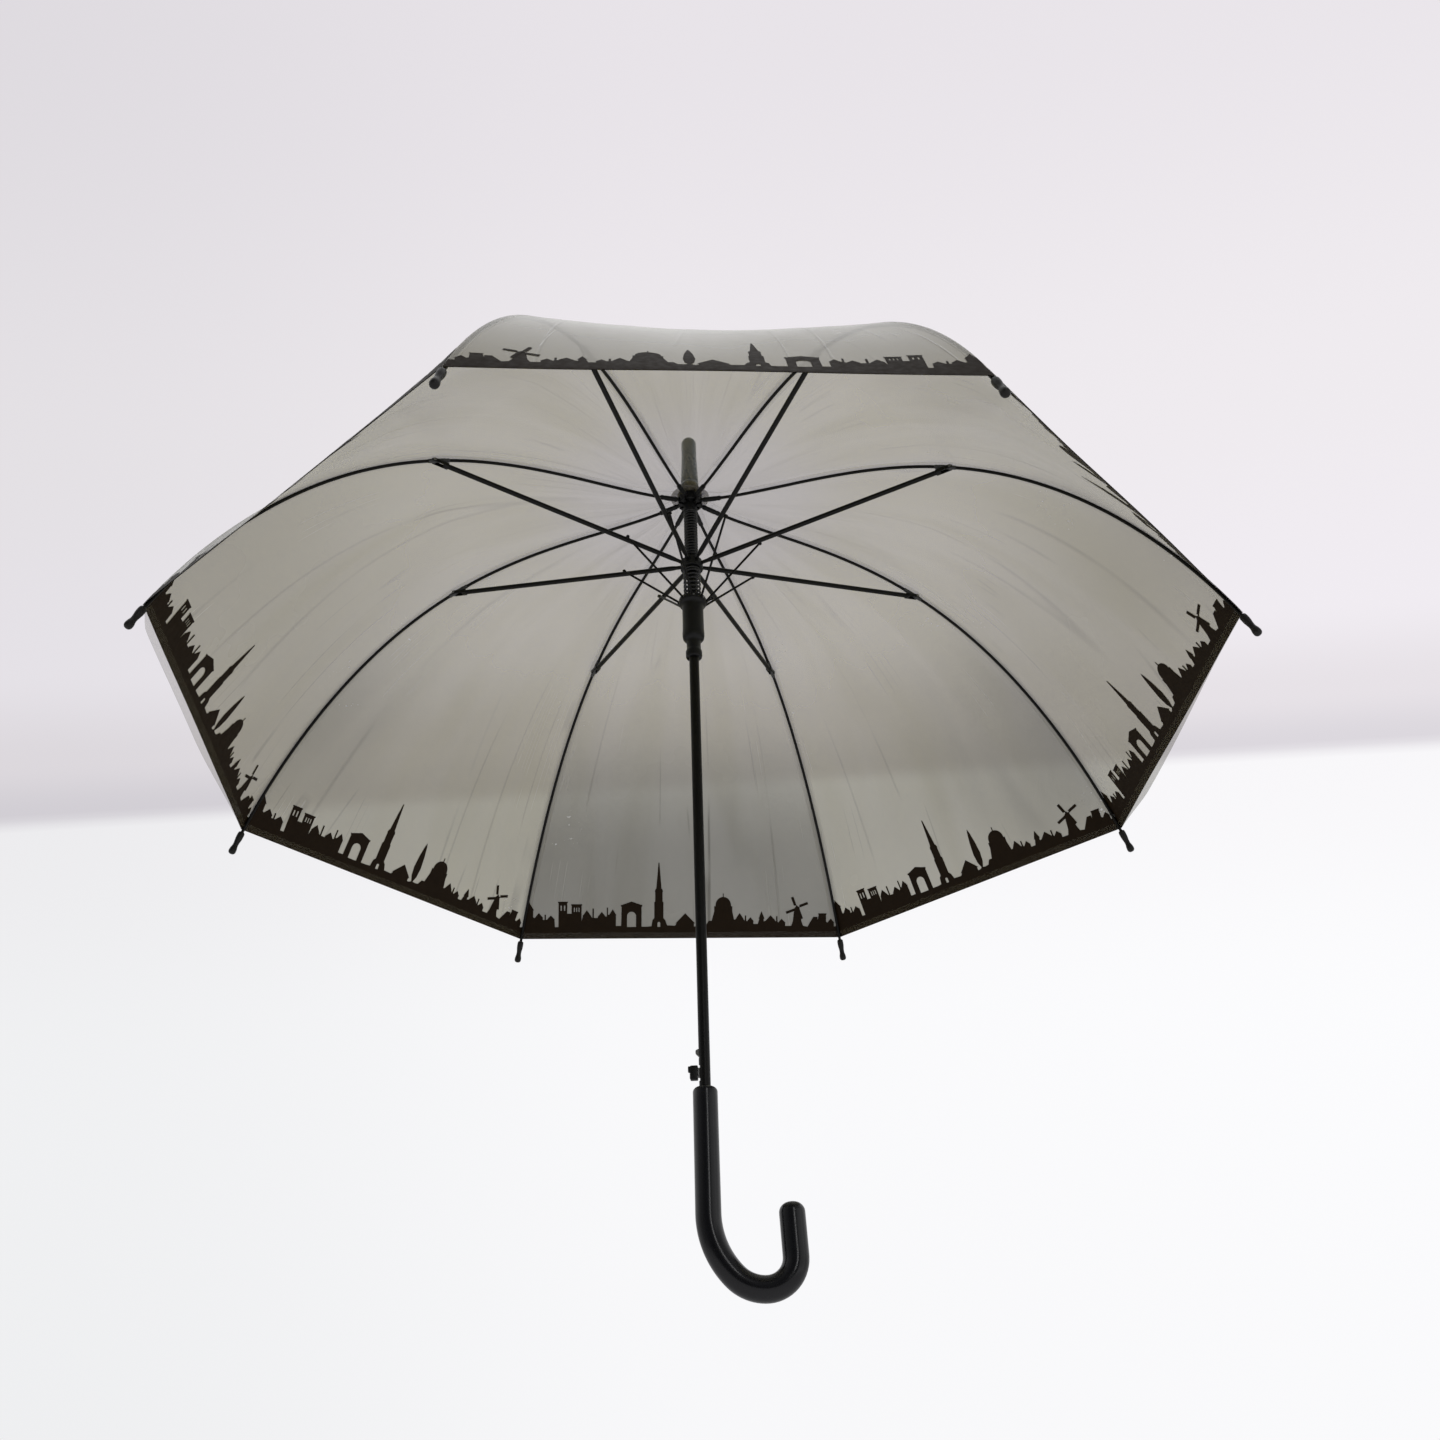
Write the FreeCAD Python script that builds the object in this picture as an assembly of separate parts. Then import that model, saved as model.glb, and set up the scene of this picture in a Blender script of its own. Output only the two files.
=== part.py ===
import FreeCAD, Part
import math
import os

# Clear dome umbrella, automatic stick type, shown open.
# Millimetres. Origin on the shaft axis at the middle of the straight grip,
# +Z up the shaft towards the ferrule, +X the side the crook opens to.
V = FreeCAD.Vector
os.makedirs("parts", exist_ok=True)

# ---------------------------------------------------------------- driving sizes
HZ = 656.0            # height of the rib hinge ring above the origin
RIBS = 8
PHASE = 5.2           # degrees, first rib plane after the 22.5 degree position
R_PIVOT = 9.0         # pitch radius of both hinge wires
S_J = 258.5           # arc length from the rib hinge to the stretcher joint
# rib centreline: arc length and downward slope, slope linear between the entries
RIB = [(0, 12.5), (50, 4.4), (100, 2.9), (150, 6.3), (200, 12.7), (250, 21.2),
       (300, 30.0), (350, 38.3), (400, 45.7), (450, 52.0), (500, 57.5),
       (550, 62.6), (612, 68.0)]
ROD_R = 1.55          # rib rod
STR_R = 2.4           # stretcher tube
LINK_R = 1.1          # pull link wire
LINK_L = 80.0         # pull link, eye to eye
LINK_W = 61.5         # link joint along the stretcher, from the nest wire
LINK_OFF = 3.8        # the link runs beside its stretcher by this much
R_RUN = 12.0          # pitch radius of the link pins in the runner
SHAFT_R, SHAFT_IN = 4.6, 4.0
FILM = 0.6            # canopy film stand-in thickness
SAG = 9.0             # inward bow of a panel between its ribs
S_HEM = 586.5         # arc length at the hem
S_TIP = 616.5
HANDLE_R = 10.0
Z_HANDLE = -610.5     # handle top, measured from the hinge ring
FIT = 0.05            # gap between pieces that are fixed together
RUN = 0.10            # running clearance on the shaft


def arcs():
    out = []
    r, z = R_PIVOT, 0.0
    for (s0, a0), (s1, a1) in zip(RIB, RIB[1:]):
        a0, a1 = math.radians(a0), math.radians(a1)
        k = (a1 - a0) / (s1 - s0)
        out.append((s0, s1, a0, k, r, z))
        r += (math.sin(a1) - math.sin(a0)) / k
        z += (math.cos(a1) - math.cos(a0)) / k
    return out


ARCS = arcs()


def rib_at(s):
    for s0, s1, a0, k, r, z in ARCS:
        if s <= s1 or s1 == RIB[-1][0]:
            a = a0 + k * (s - s0)
            return (r + (math.sin(a) - math.sin(a0)) / k,
                    z + (math.cos(a) - math.cos(a0)) / k, a)


RJ, ZJ, AJ = rib_at(S_J)
ARM = math.hypot(RJ - R_PIVOT, ZJ)      # rib hinge to joint = stretcher length
PSI0 = math.atan2(-ZJ, RJ - R_PIVOT)
Z_M = 2 * ZJ                            # nest wire
W_R = R_PIVOT + LINK_W * math.cos(PSI0)
W_Z = Z_M + LINK_W * math.sin(PSI0)
Z_L = W_Z - math.sqrt(LINK_L ** 2 - (W_R - R_RUN) ** 2)   # link pins in the runner
print("joint", RJ, ZJ, "arm", ARM, "psi0", math.degrees(PSI0), "z_m", Z_M, "z_l", Z_L)

AZ = [22.5 + PHASE + 45.0 * k for k in range(RIBS)]


def place(shape, k=None):
    s = shape.copy()
    if k is not None:
        s.rotate(V(0, 0, 0), V(0, 0, 1), AZ[k] - 90.0)
    s.translate(V(0, 0, HZ))
    return s


def save(name, *shapes):
    s = shapes[0] if len(shapes) == 1 else Part.makeCompound(list(shapes))
    for one in s.Solids:
        if not one.isValid() or one.Volume <= 0:
            print("CHECK", name, one.isValid(), one.Volume)
    s.exportStep("parts/%s.step" % name)


def cyl(r, z0, z1):
    return Part.makeCylinder(r, z1 - z0, V(0, 0, z0))


def ring(ro, ri, z0, z1):
    return cyl(ro, z0, z1).cut(cyl(ri, z0 - 1, z1 + 1))


def box(x0, x1, y0, y1, z0, z1):
    return Part.makeBox(x1 - x0, y1 - y0, z1 - z0, V(x0, y0, z0))


def ycyl(r, x, z, y0, y1):
    return Part.makeCylinder(r, y1 - y0, V(x, y0, z), V(0, 1, 0))


def lathe(points):
    """Solid of revolution about Z from (r, z) points, closed on the axis side."""
    wire = Part.makePolygon([V(r, 0, z) for r, z in points] + [V(points[0][0], 0, points[0][1])])
    return Part.Face(wire).revolve(V(0, 0, 0), V(0, 0, 1), 360)


def rod(s0, s1, radius):
    """Round rod along the rib centreline, made of tangent arcs."""
    cuts = [s0] + [s for s, _ in RIB if s0 + 0.5 < s < s1 - 0.5] + [s1]
    edges = []
    for a, b in zip(cuts, cuts[1:]):
        p = [rib_at(t) for t in (a, (a + b) / 2, b)]
        edges.append(Part.Arc(*[V(q[0], 0, q[1]) for q in p]).toShape())
    r, z, a = rib_at(s0)
    circle = Part.Wire(Part.makeCircle(radius, V(r, 0, z), V(math.cos(a), 0, -math.sin(a))))
    return Part.Wire(edges).makePipeShell([circle], True, False)


def straight(p, q, radius, y=0.0, radius2=None):
    a, b = V(p[0], y, p[1]), V(q[0], y, q[1])
    d = b.sub(a)
    if radius2 is None:
        return Part.makeCylinder(radius, d.Length, a, d)
    return Part.makeCone(radius, radius2, d.Length, a, d)


def bar(p, q, half_h, y0, y1):
    """Flat bar between two points of the rib plane with square ends."""
    dx, dz = q[0] - p[0], q[1] - p[1]
    n = math.hypot(dx, dz)
    nx, nz = -dz / n * half_h, dx / n * half_h
    pts = [V(p[0] + nx, y0, p[1] + nz), V(q[0] + nx, y0, q[1] + nz),
           V(q[0] - nx, y0, q[1] - nz), V(p[0] - nx, y0, p[1] - nz)]
    return Part.Face(Part.makePolygon(pts + [pts[0]])).extrude(V(0, y1 - y0, 0))


# ---------------------------------------------------------------- shaft
shaft = cyl(SHAFT_R, Z_HANDLE - 44.0, 42.0).cut(cyl(SHAFT_IN, Z_HANDLE - 50.0, 50.0))
shaft = shaft.cut(box(-6, -2, -1.6, 1.6, -586.2, -576.8))          # catch window
shaft = shaft.cut(box(-6, -2, -2.7, 2.7, -605.2, -591.0))          # button window
shaft = shaft.cut(ycyl(0.8, 0, -9.0, -8, 8))                       # notch pin hole
save("shaft_tube", place(shaft))

# ---------------------------------------------------------------- ferrule and crown
TIP_R = 7.65
outer = [(0, 86.7), (3.4, 86.2), (5.6, 84.6), (7.0, 82.2), (TIP_R, 79.0), (TIP_R, 58.0), (8.95, 20.6), (0, 20.6)]
ferrule = lathe(outer).cut(cyl(SHAFT_R + FIT, 0, 43.0))
save("ferrule", place(ferrule))
collar = lathe([(SHAFT_R + FIT, 20.5), (9.1, 20.5), (9.6, 13.0), (12.5, 9.4), (12.5, 8.6), (SHAFT_R + FIT, 8.6)])
save("ferrule_collar", place(collar))

# ---------------------------------------------------------------- top notch
notch = cyl(12.0, -4.0, 6.0).fuse(cyl(6.8, -13.0, -3.9)).removeSplitter()
notch = notch.cut(cyl(SHAFT_R + FIT, -20, 20))
for k in range(RIBS):
    slot = box(6.8, 16, -1.5, 1.5, -8, 3.0)
    slot.rotate(V(0, 0, 0), V(0, 0, 1), AZ[k] - 90.0)
    notch = notch.cut(slot)
notch = notch.cut(Part.makeTorus(R_PIVOT, 0.85, V(0, 0, 0), V(0, 0, 1)))
notch = notch.cut(ycyl(0.8, 0, -9.0, -10, 10))
save("top_notch", place(notch))
save("notch_wire", place(Part.makeTorus(R_PIVOT, 0.8, V(0, 0, 0), V(0, 0, 1))))
save("notch_pin", place(ycyl(0.75, 0, -9.0, -6.6, 6.6)))

# ---------------------------------------------------------------- canopy
# inner face of the film in a rib plane: over the notch cap, then a little above the rods,
# lifted over the joint clips; arc length and slope kept for each row
def lift(s):
    if s <= 40:
        return 2.95 if s <= 26 else 2.5
    return 3.1 if abs(s - S_J) < 13.5 else 1.95


inner = [(7.6, 6.15), (12.4, 6.1), (20.5, 3.9)]
rows = [(0.0, 0.0), (6.0, 0.0), (14.5, 0.35)]
for s in [26, 40, 55] + [70 + 20 * i for i in range(8)] + [229, 246, S_J, 271, 289] + [310 + 20 * i for i in range(14)] + [S_HEM]:
    r, z, a = rib_at(s)
    inner.append((r + math.sin(a) * lift(s), z + math.cos(a) * lift(s)))
    rows.append((s, a))


def sag(s):
    """How far the stretched film runs inside the flat line between two ribs, at mid panel."""
    x = (s - 40.0) / (S_HEM - 40.0)
    return SAG * math.sin(math.pi * x ** 2.06) if 0 < x < 1 else 0.0


def offset(pts, t):
    out = []
    for i, p in enumerate(pts):
        a, b = pts[max(i - 1, 0)], pts[min(i + 1, len(pts) - 1)]
        dx, dz = b[0] - a[0], b[1] - a[1]
        n = math.hypot(dx, dz)
        out.append((p[0] - dz / n * t, p[1] + dx / n * t))
    return out


COLS = [0.0, 0.25, 0.5, 0.75, 1.0]


def gore(lo, hi, k):
    """Film panel between two rib planes, bowed inwards between them: small flat facets, closed all round."""
    a0, a1 = math.radians(AZ[k] - 90.0), math.radians(AZ[k] - 45.0)
    mid = V(math.cos((a0 + a1) / 2), math.sin((a0 + a1) / 2), 0)

    def at(pts, i, u):
        r, z = pts[i]
        s, a = rows[i]
        p = V(r * ((1 - u) * math.cos(a0) + u * math.cos(a1)), r * ((1 - u) * math.sin(a0) + u * math.sin(a1)), z)
        n = V(mid.x * math.sin(a), mid.y * math.sin(a), math.cos(a))
        return p.sub(n.multiply(sag(s) * 4 * u * (1 - u)))

    def tri(*v):
        return Part.Face(Part.makePolygon(list(v) + [v[0]]))

    faces = []
    for pts in (lo, hi):
        for i in range(len(pts) - 1):
            for u, w in zip(COLS, COLS[1:]):
                a, b, c, d = at(pts, i, u), at(pts, i + 1, u), at(pts, i + 1, w), at(pts, i, w)
                if u < 0.5:
                    faces += [tri(a, b, c), tri(a, c, d)]
                else:
                    faces += [tri(a, b, d), tri(b, c, d)]
    for u in (0.0, 1.0):
        for i in range(len(lo) - 1):
            faces.append(tri(at(lo, i, u), at(lo, i + 1, u), at(hi, i + 1, u), at(hi, i, u)))
    for i in (0, len(lo) - 1):
        for u, w in zip(COLS, COLS[1:]):
            faces += [tri(at(lo, i, u), at(hi, i, u), at(hi, i, w)), tri(at(lo, i, u), at(hi, i, w), at(lo, i, w))]
    solid = Part.Solid(Part.Shell(faces))
    if solid.Volume < 0:
        solid.reverse()
    return solid


film_out = offset(inner, FILM)
save("canopy", *[place(gore(inner, film_out, k)) for k in range(RIBS)])

# crown washer: dished disc on the film under the collar
top = [(r, z + 0.15) for r, z in film_out]
w_lo = [(SHAFT_R + FIT, top[0][1]), top[0], top[1], (19.0, top[1][1] + (top[2][1] - top[1][1]) * (19.0 - top[1][0]) / (top[2][0] - top[1][0]))]
w_hi = [(r, z + 0.8) for r, z in w_lo]
save("crown_washer", place(lathe(w_lo + w_hi[::-1])))

# ---------------------------------------------------------------- ribs
for k in range(RIBS):
    n = k + 1
    hinge = (R_PIVOT, 0.0)
    p5, p24 = rib_at(5.0), rib_at(24.0)
    # root fitting: eye on the hinge wire, flat tongue, round socket over the rod's end
    eye = ycyl(2.0, R_PIVOT, 0, -1.3, 1.3)
    tongue = bar(hinge, p5, 1.6, -1.3, 1.3)
    tongue2 = bar(p5, rib_at(8.0), 1.6, -1.3, 1.3)
    root = eye.fuse([tongue, tongue2, rod(5.0, 24.0, 2.5)]).removeSplitter()
    root = root.cut(ycyl(1.0, R_PIVOT, 0, -3, 3))
    inner_rod = rod(24.0, S_J - 12.0, ROD_R)
    # clip at the stretcher joint: sleeve on the rod with a round boss that carries the pin
    clip = rod(S_J - 12.0, S_J - 0.1, 2.0)
    clip = clip.fuse(ycyl(2.2, RJ, ZJ, -1.9, 1.9)).cut(
        bar((RJ + 0.9 * math.cos(AJ), ZJ - 0.9 * math.sin(AJ)),
            (RJ + 9 * math.cos(AJ), ZJ - 9 * math.sin(AJ)), 9.0, -5, 5))
    pin = ycyl(0.9, RJ, ZJ, -3.4, 3.4)
    whole = root.fuse([inner_rod, clip, pin]).removeSplitter()
    save("rib_%d" % n, place(whole, k))
    # outer part of the rod, past the joint, and its end cap
    save("rib_outer_%d" % n, place(rod(S_J + 2.6, 589.0, ROD_R), k))
    r0, z0, a0 = rib_at(589.0)
    a1 = rib_at(600.0)[2]
    tip = S_TIP - 589.0
    cap = lathe([(0, 0), (2.2, 0), (3.3, 1.4), (3.3, 6.5), (2.65, 15.5), (2.8, 18.5), (3.55, tip - 5.0), (3.55, tip - 2.6), (2.6, tip - 0.7), (0.9, tip), (0, tip)])
    cap.rotate(V(0, 0, 0), V(0, 1, 0), 90.0 + math.degrees(a1))
    cap.translate(V(r0, 0, z0))
    save("rib_tip_%d" % n, place(cap, k))

# ---------------------------------------------------------------- middle nest
nest = cyl(11.0, Z_M - 6.0, Z_M + 3.6).fuse(cyl(6.8, Z_M + 3.5, Z_M + 9.0)).removeSplitter()
nest = nest.cut(cyl(SHAFT_R + RUN, Z_M - 20, Z_M + 20))
for k in range(RIBS):
    slot = box(6.8, 16, -1.5, 1.5, Z_M - 2.6, Z_M + 12)
    slot.rotate(V(0, 0, 0), V(0, 0, 1), AZ[k] - 90.0)
    nest = nest.cut(slot)
nest = nest.cut(Part.makeTorus(R_PIVOT, 0.85, V(0, 0, Z_M), V(0, 0, 1)))
save("middle_nest", place(nest))
save("nest_wire", place(Part.makeTorus(R_PIVOT, 0.8, V(0, 0, Z_M), V(0, 0, 1))))

# ---------------------------------------------------------------- stretchers
for k in range(RIBS):
    d = (math.cos(PSI0), math.sin(PSI0))
    at = lambda t: (R_PIVOT + d[0] * t, Z_M + d[1] * t)
    eye = ycyl(2.0, R_PIVOT, Z_M, -1.3, 1.3)
    body = [bar(at(0), at(10.0), 1.6, -1.3, 1.3), straight(at(6.5), at(ARM - 11.0), STR_R)]
    ears = []
    for y0, y1 in ((-2.9, -2.05), (2.05, 2.9)):
        ears.append(bar(at(ARM - 14.0), at(ARM), 1.9, y0, y1))
        ears.append(ycyl(1.9, at(ARM)[0], at(ARM)[1], y0, y1))
    yoke = bar(at(ARM - 14.0), at(ARM - 9.5), 1.9, -2.9, 2.9)
    s = eye.fuse(body + ears + [yoke]).removeSplitter()
    s = s.cut(ycyl(1.0, R_PIVOT, Z_M, -3, 3)).cut(ycyl(0.95, at(ARM)[0], at(ARM)[1], -6, 6))
    save("stretcher_%d" % (k + 1), place(s, k))

# ---------------------------------------------------------------- runner
zl = Z_L
runner = lathe([(SHAFT_R + RUN, zl + 2.9), (8.9, zl + 2.9), (13.25, zl + 2.9), (13.25, zl - 3.4), (10.2, zl - 4.6),
                (10.2, zl - 43.5), (6.7, zl - 46.5), (6.7, zl - 57.5), (7.8, zl - 58.5), (7.8, zl - 66.3),
                (SHAFT_R + RUN, zl - 66.3)])
for k in range(RIBS):
    slot = box(10.4, 18, LINK_OFF - 1.35, LINK_OFF + 1.35, zl - 2.4, zl + 6)
    slot = slot.fuse(ycyl(2.45, R_RUN, zl, LINK_OFF - 1.35, LINK_OFF + 1.35))
    slot.rotate(V(0, 0, 0), V(0, 0, 1), AZ[k] - 90.0)
    runner = runner.cut(slot)
    hole = ycyl(0.75, R_RUN, zl, LINK_OFF - 2.6, LINK_OFF + 2.6)
    hole.rotate(V(0, 0, 0), V(0, 0, 1), AZ[k] - 90.0)
    runner = runner.cut(hole)
runner = runner.cut(box(-10, -3, -1.7, 1.7, zl - 70, zl - 53.0))     # slot that takes the catch
save("runner", place(runner))
save("runner_pins", *[place(ycyl(0.7, R_RUN, zl, LINK_OFF - 2.5, LINK_OFF + 2.5), k) for k in range(RIBS)])

# ---------------------------------------------------------------- pull links
for k in range(RIBS):
    a, b = (R_RUN, zl), (W_R, W_Z)
    y0, y1 = LINK_OFF - 1.1, LINK_OFF + 1.1
    s = ycyl(2.1, a[0], a[1], y0, y1).fuse([ycyl(2.1, b[0], b[1], y0, y1), straight(a, b, LINK_R, LINK_OFF)])
    s = s.cut(ycyl(0.76, a[0], a[1], y0 - 1, y1 + 1)).cut(ycyl(0.8, b[0], b[1], y0 - 1, y1 + 1))
    save("link_%d" % (k + 1), place(s, k))


# ---------------------------------------------------------------- springs
def coil(r_mean, wire, z0, z1, turns, smooth):
    pitch = (z1 - z0 - 2 * wire) / turns
    if smooth:
        curve = Part.BSplineCurve()
        curve.interpolate([V(r_mean * math.cos(math.pi * i / 12), r_mean * math.sin(math.pi * i / 12), pitch * i / 24)
                           for i in range(24 * turns + 1)])
        path = curve.toShape()
    else:
        path = Part.makeHelix(pitch, pitch * turns, r_mean)
    circle = Part.Wire(Part.makeCircle(wire, V(r_mean, 0, 0), V(0, 1, 0)))
    s = Part.Wire(path).makePipeShell([circle], True, True)
    s.translate(V(0, 0, z0 + wire))
    return s


save("opening_spring", place(coil(8.1, 0.6, zl + 3.1, Z_M - 6.2, 8, True)))
save("buffer_spring", place(coil(5.75, 0.55, Z_M + 9.3, -13.3, 14, False)))

# ---------------------------------------------------------------- catch and button
strip = box(-3.5, -2.7, -1.5, 1.5, -608.0, -572.0)
nose = Part.Face(Part.makePolygon([V(-3.5, -1.2, -585.4), V(-7.0, -1.2, -582.0), V(-7.0, -1.2, -579.0),
                                   V(-3.5, -1.2, -577.6), V(-3.5, -1.2, -585.4)])).extrude(V(0, 2.4, 0))
tab = box(-5.2, -3.4, -1.5, 1.5, -602.0, -594.0)
save("catch", place(strip.fuse([nose, tab]).removeSplitter()))
button = box(-11.6, -5.2, -2.4, 2.4, -604.0, -592.0)
button = button.makeFillet(1.2, [e for e in button.Edges if abs(e.BoundBox.XMin + 11.6) < 1e-6 and abs(e.BoundBox.XMax + 11.6) < 1e-6])
lug = box(-13.4, -10.8, -2.0, 2.0, -597.4, -592.6)
lug = lug.makeFillet(0.9, [e for e in lug.Edges if abs(e.BoundBox.XMin + 13.4) < 1e-6 and abs(e.BoundBox.XMax + 13.4) < 1e-6])
save("release_button", place(button.fuse(lug).removeSplitter()))

# ---------------------------------------------------------------- crook handle
GRIP = 98.2           # straight part of the handle
HOOK_END = 39.5       # straight end of the crook
R1, R2, R3 = 68.0, 32.4, 22.5
T1 = math.radians(43.5)
p0 = V(0, 0, Z_HANDLE)
p1 = V(0, 0, Z_HANDLE - GRIP)


def arc_to(p, heading, radius, turn):
    """Left-turning arc in the XZ plane; heading is the angle from +X."""
    c = V(p.x - radius * math.sin(heading), 0, p.z + radius * math.cos(heading))
    pts = [V(c.x + radius * math.sin(heading + f * turn), 0, c.z - radius * math.cos(heading + f * turn)) for f in (0, 0.5, 1)]
    return Part.Arc(*pts).toShape(), pts[2], heading + turn


e1 = Part.makeLine(p0, p1)
e2, p2, h = arc_to(p1, math.radians(-90), R1, T1)
e3, p3, h = arc_to(p2, h, R2, math.radians(46.5))
e4, p4, h = arc_to(p3, h, R3, math.radians(92.0))
p5 = V(p4.x + HOOK_END * math.cos(h), 0, p4.z + HOOK_END * math.sin(h))
e5 = Part.makeLine(p4, p5)
print("hook", p2, p3, p4, p5)
wire = Part.Wire([e1, e2, e3, e4, e5])
circle = Part.Wire(Part.makeCircle(HANDLE_R, p0, V(0, 0, -1)))
handle = wire.makePipeShell([circle], True, False)
ends = [e for e in handle.Edges if e.Closed and (abs(e.BoundBox.ZMin - Z_HANDLE) < 1e-3 or (e.BoundBox.Center.sub(p5)).Length < 1.0)]
print("end edges", len(ends))
handle = handle.makeFillet(4.5, [e for e in ends if abs(e.BoundBox.ZMin - Z_HANDLE) < 1e-3])
ends = [e for e in handle.Edges if e.Closed and (e.BoundBox.Center.sub(p5)).Length < 1.0]
handle = handle.makeFillet(7.5, ends)
handle = handle.cut(cyl(SHAFT_R + FIT, Z_HANDLE - 45.0, Z_HANDLE + 5))
save("handle", place(handle))
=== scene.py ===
import bpy
import bmesh
import math
import random
from mathutils import Vector, Matrix
from mathutils.geometry import tessellate_polygon


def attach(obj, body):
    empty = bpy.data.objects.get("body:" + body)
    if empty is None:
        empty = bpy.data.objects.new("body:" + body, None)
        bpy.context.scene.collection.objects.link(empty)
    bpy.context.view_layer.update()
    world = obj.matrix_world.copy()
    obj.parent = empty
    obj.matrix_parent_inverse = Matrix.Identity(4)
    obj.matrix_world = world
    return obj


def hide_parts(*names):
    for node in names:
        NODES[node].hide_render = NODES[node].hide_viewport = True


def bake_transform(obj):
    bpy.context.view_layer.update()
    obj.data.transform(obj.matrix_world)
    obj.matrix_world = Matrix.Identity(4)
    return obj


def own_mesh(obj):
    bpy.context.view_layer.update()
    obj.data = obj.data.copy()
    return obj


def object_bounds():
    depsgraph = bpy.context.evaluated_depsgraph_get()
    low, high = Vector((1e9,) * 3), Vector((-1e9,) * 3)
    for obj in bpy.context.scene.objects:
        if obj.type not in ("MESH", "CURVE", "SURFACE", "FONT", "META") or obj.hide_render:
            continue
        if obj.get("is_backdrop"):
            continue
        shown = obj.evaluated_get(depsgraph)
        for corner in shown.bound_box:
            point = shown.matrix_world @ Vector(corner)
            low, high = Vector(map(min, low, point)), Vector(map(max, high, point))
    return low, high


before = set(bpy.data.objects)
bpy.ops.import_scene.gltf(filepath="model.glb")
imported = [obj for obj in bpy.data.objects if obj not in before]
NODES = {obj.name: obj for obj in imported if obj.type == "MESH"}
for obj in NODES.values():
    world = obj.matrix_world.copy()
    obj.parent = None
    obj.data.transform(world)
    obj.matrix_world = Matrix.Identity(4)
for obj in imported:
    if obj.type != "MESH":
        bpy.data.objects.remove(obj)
CAD_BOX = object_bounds()
ROOT = "handle_and_shaft"

# ------------------------------------------------------------------ the design's sizes, millimetres from the hinge ring
HZ = 656.0
PHASE = 5.2
R_PIVOT = 9.0
S_J = 258.5
RIB = [(0, 12.5), (50, 4.4), (100, 2.9), (150, 6.3), (200, 12.7), (250, 21.2),
       (300, 30.0), (350, 38.3), (400, 45.7), (450, 52.0), (500, 57.5),
       (550, 62.6), (612, 68.0)]
ROD_R, STR_R, LINK_R = 1.55, 2.4, 1.1
LINK_L, LINK_W, LINK_OFF, R_RUN = 80.0, 61.5, 3.8, 12.0
S_HEM = 586.5
Z_HANDLE = -610.5
AZ = [22.5 + PHASE + 45.0 * k for k in range(8)]


def rib_at(s):
    r, z = R_PIVOT, 0.0
    for (s0, a0), (s1, a1) in zip(RIB, RIB[1:]):
        a0, a1 = math.radians(a0), math.radians(a1)
        k = (a1 - a0) / (s1 - s0)
        if s <= s1 or s1 == RIB[-1][0]:
            a = a0 + k * (s - s0)
            return r + (math.sin(a) - math.sin(a0)) / k, z + (math.cos(a) - math.cos(a0)) / k, a
        r += (math.sin(a1) - math.sin(a0)) / k
        z += (math.cos(a1) - math.cos(a0)) / k


RJ, ZJ, AJ = rib_at(S_J)
ARM = math.hypot(RJ - R_PIVOT, ZJ)
PSI0 = math.atan2(-ZJ, RJ - R_PIVOT)
Z_M = 2 * ZJ
W_R = R_PIVOT + LINK_W * math.cos(PSI0)
W_Z = Z_M + LINK_W * math.sin(PSI0)
Z_L = W_Z - math.sqrt(LINK_L ** 2 - (W_R - R_RUN) ** 2)


def out_dir(k):
    a = math.radians(AZ[k % 8] - 90.0)
    return Vector((math.cos(a), math.sin(a), 0.0))


def tan_dir(k):
    e = out_dir(k)
    return Vector((-e.y, e.x, 0.0))


def P(k, r, z, t=0.0):
    """Point of rib plane k: radius, height from the hinge ring, sideways offset; in metres."""
    return (out_dir(k) * r + tan_dir(k) * t + Vector((0, 0, z + HZ))) / 1000.0


# ------------------------------------------------------------------ materials
def principled(name, color, rough, metallic=0.0, spec=0.5, coat=0.0, coat_rough=0.1):
    m = bpy.data.materials.new(name)
    m.use_nodes = True
    b = m.node_tree.nodes["Principled BSDF"]
    b.inputs["Base Color"].default_value = (*color, 1)
    b.inputs["Roughness"].default_value = rough
    b.inputs["Metallic"].default_value = metallic
    b.inputs["Specular IOR Level"].default_value = spec
    b.inputs["Coat Weight"].default_value = coat
    b.inputs["Coat Roughness"].default_value = coat_rough
    return m, m.node_tree, b


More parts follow.
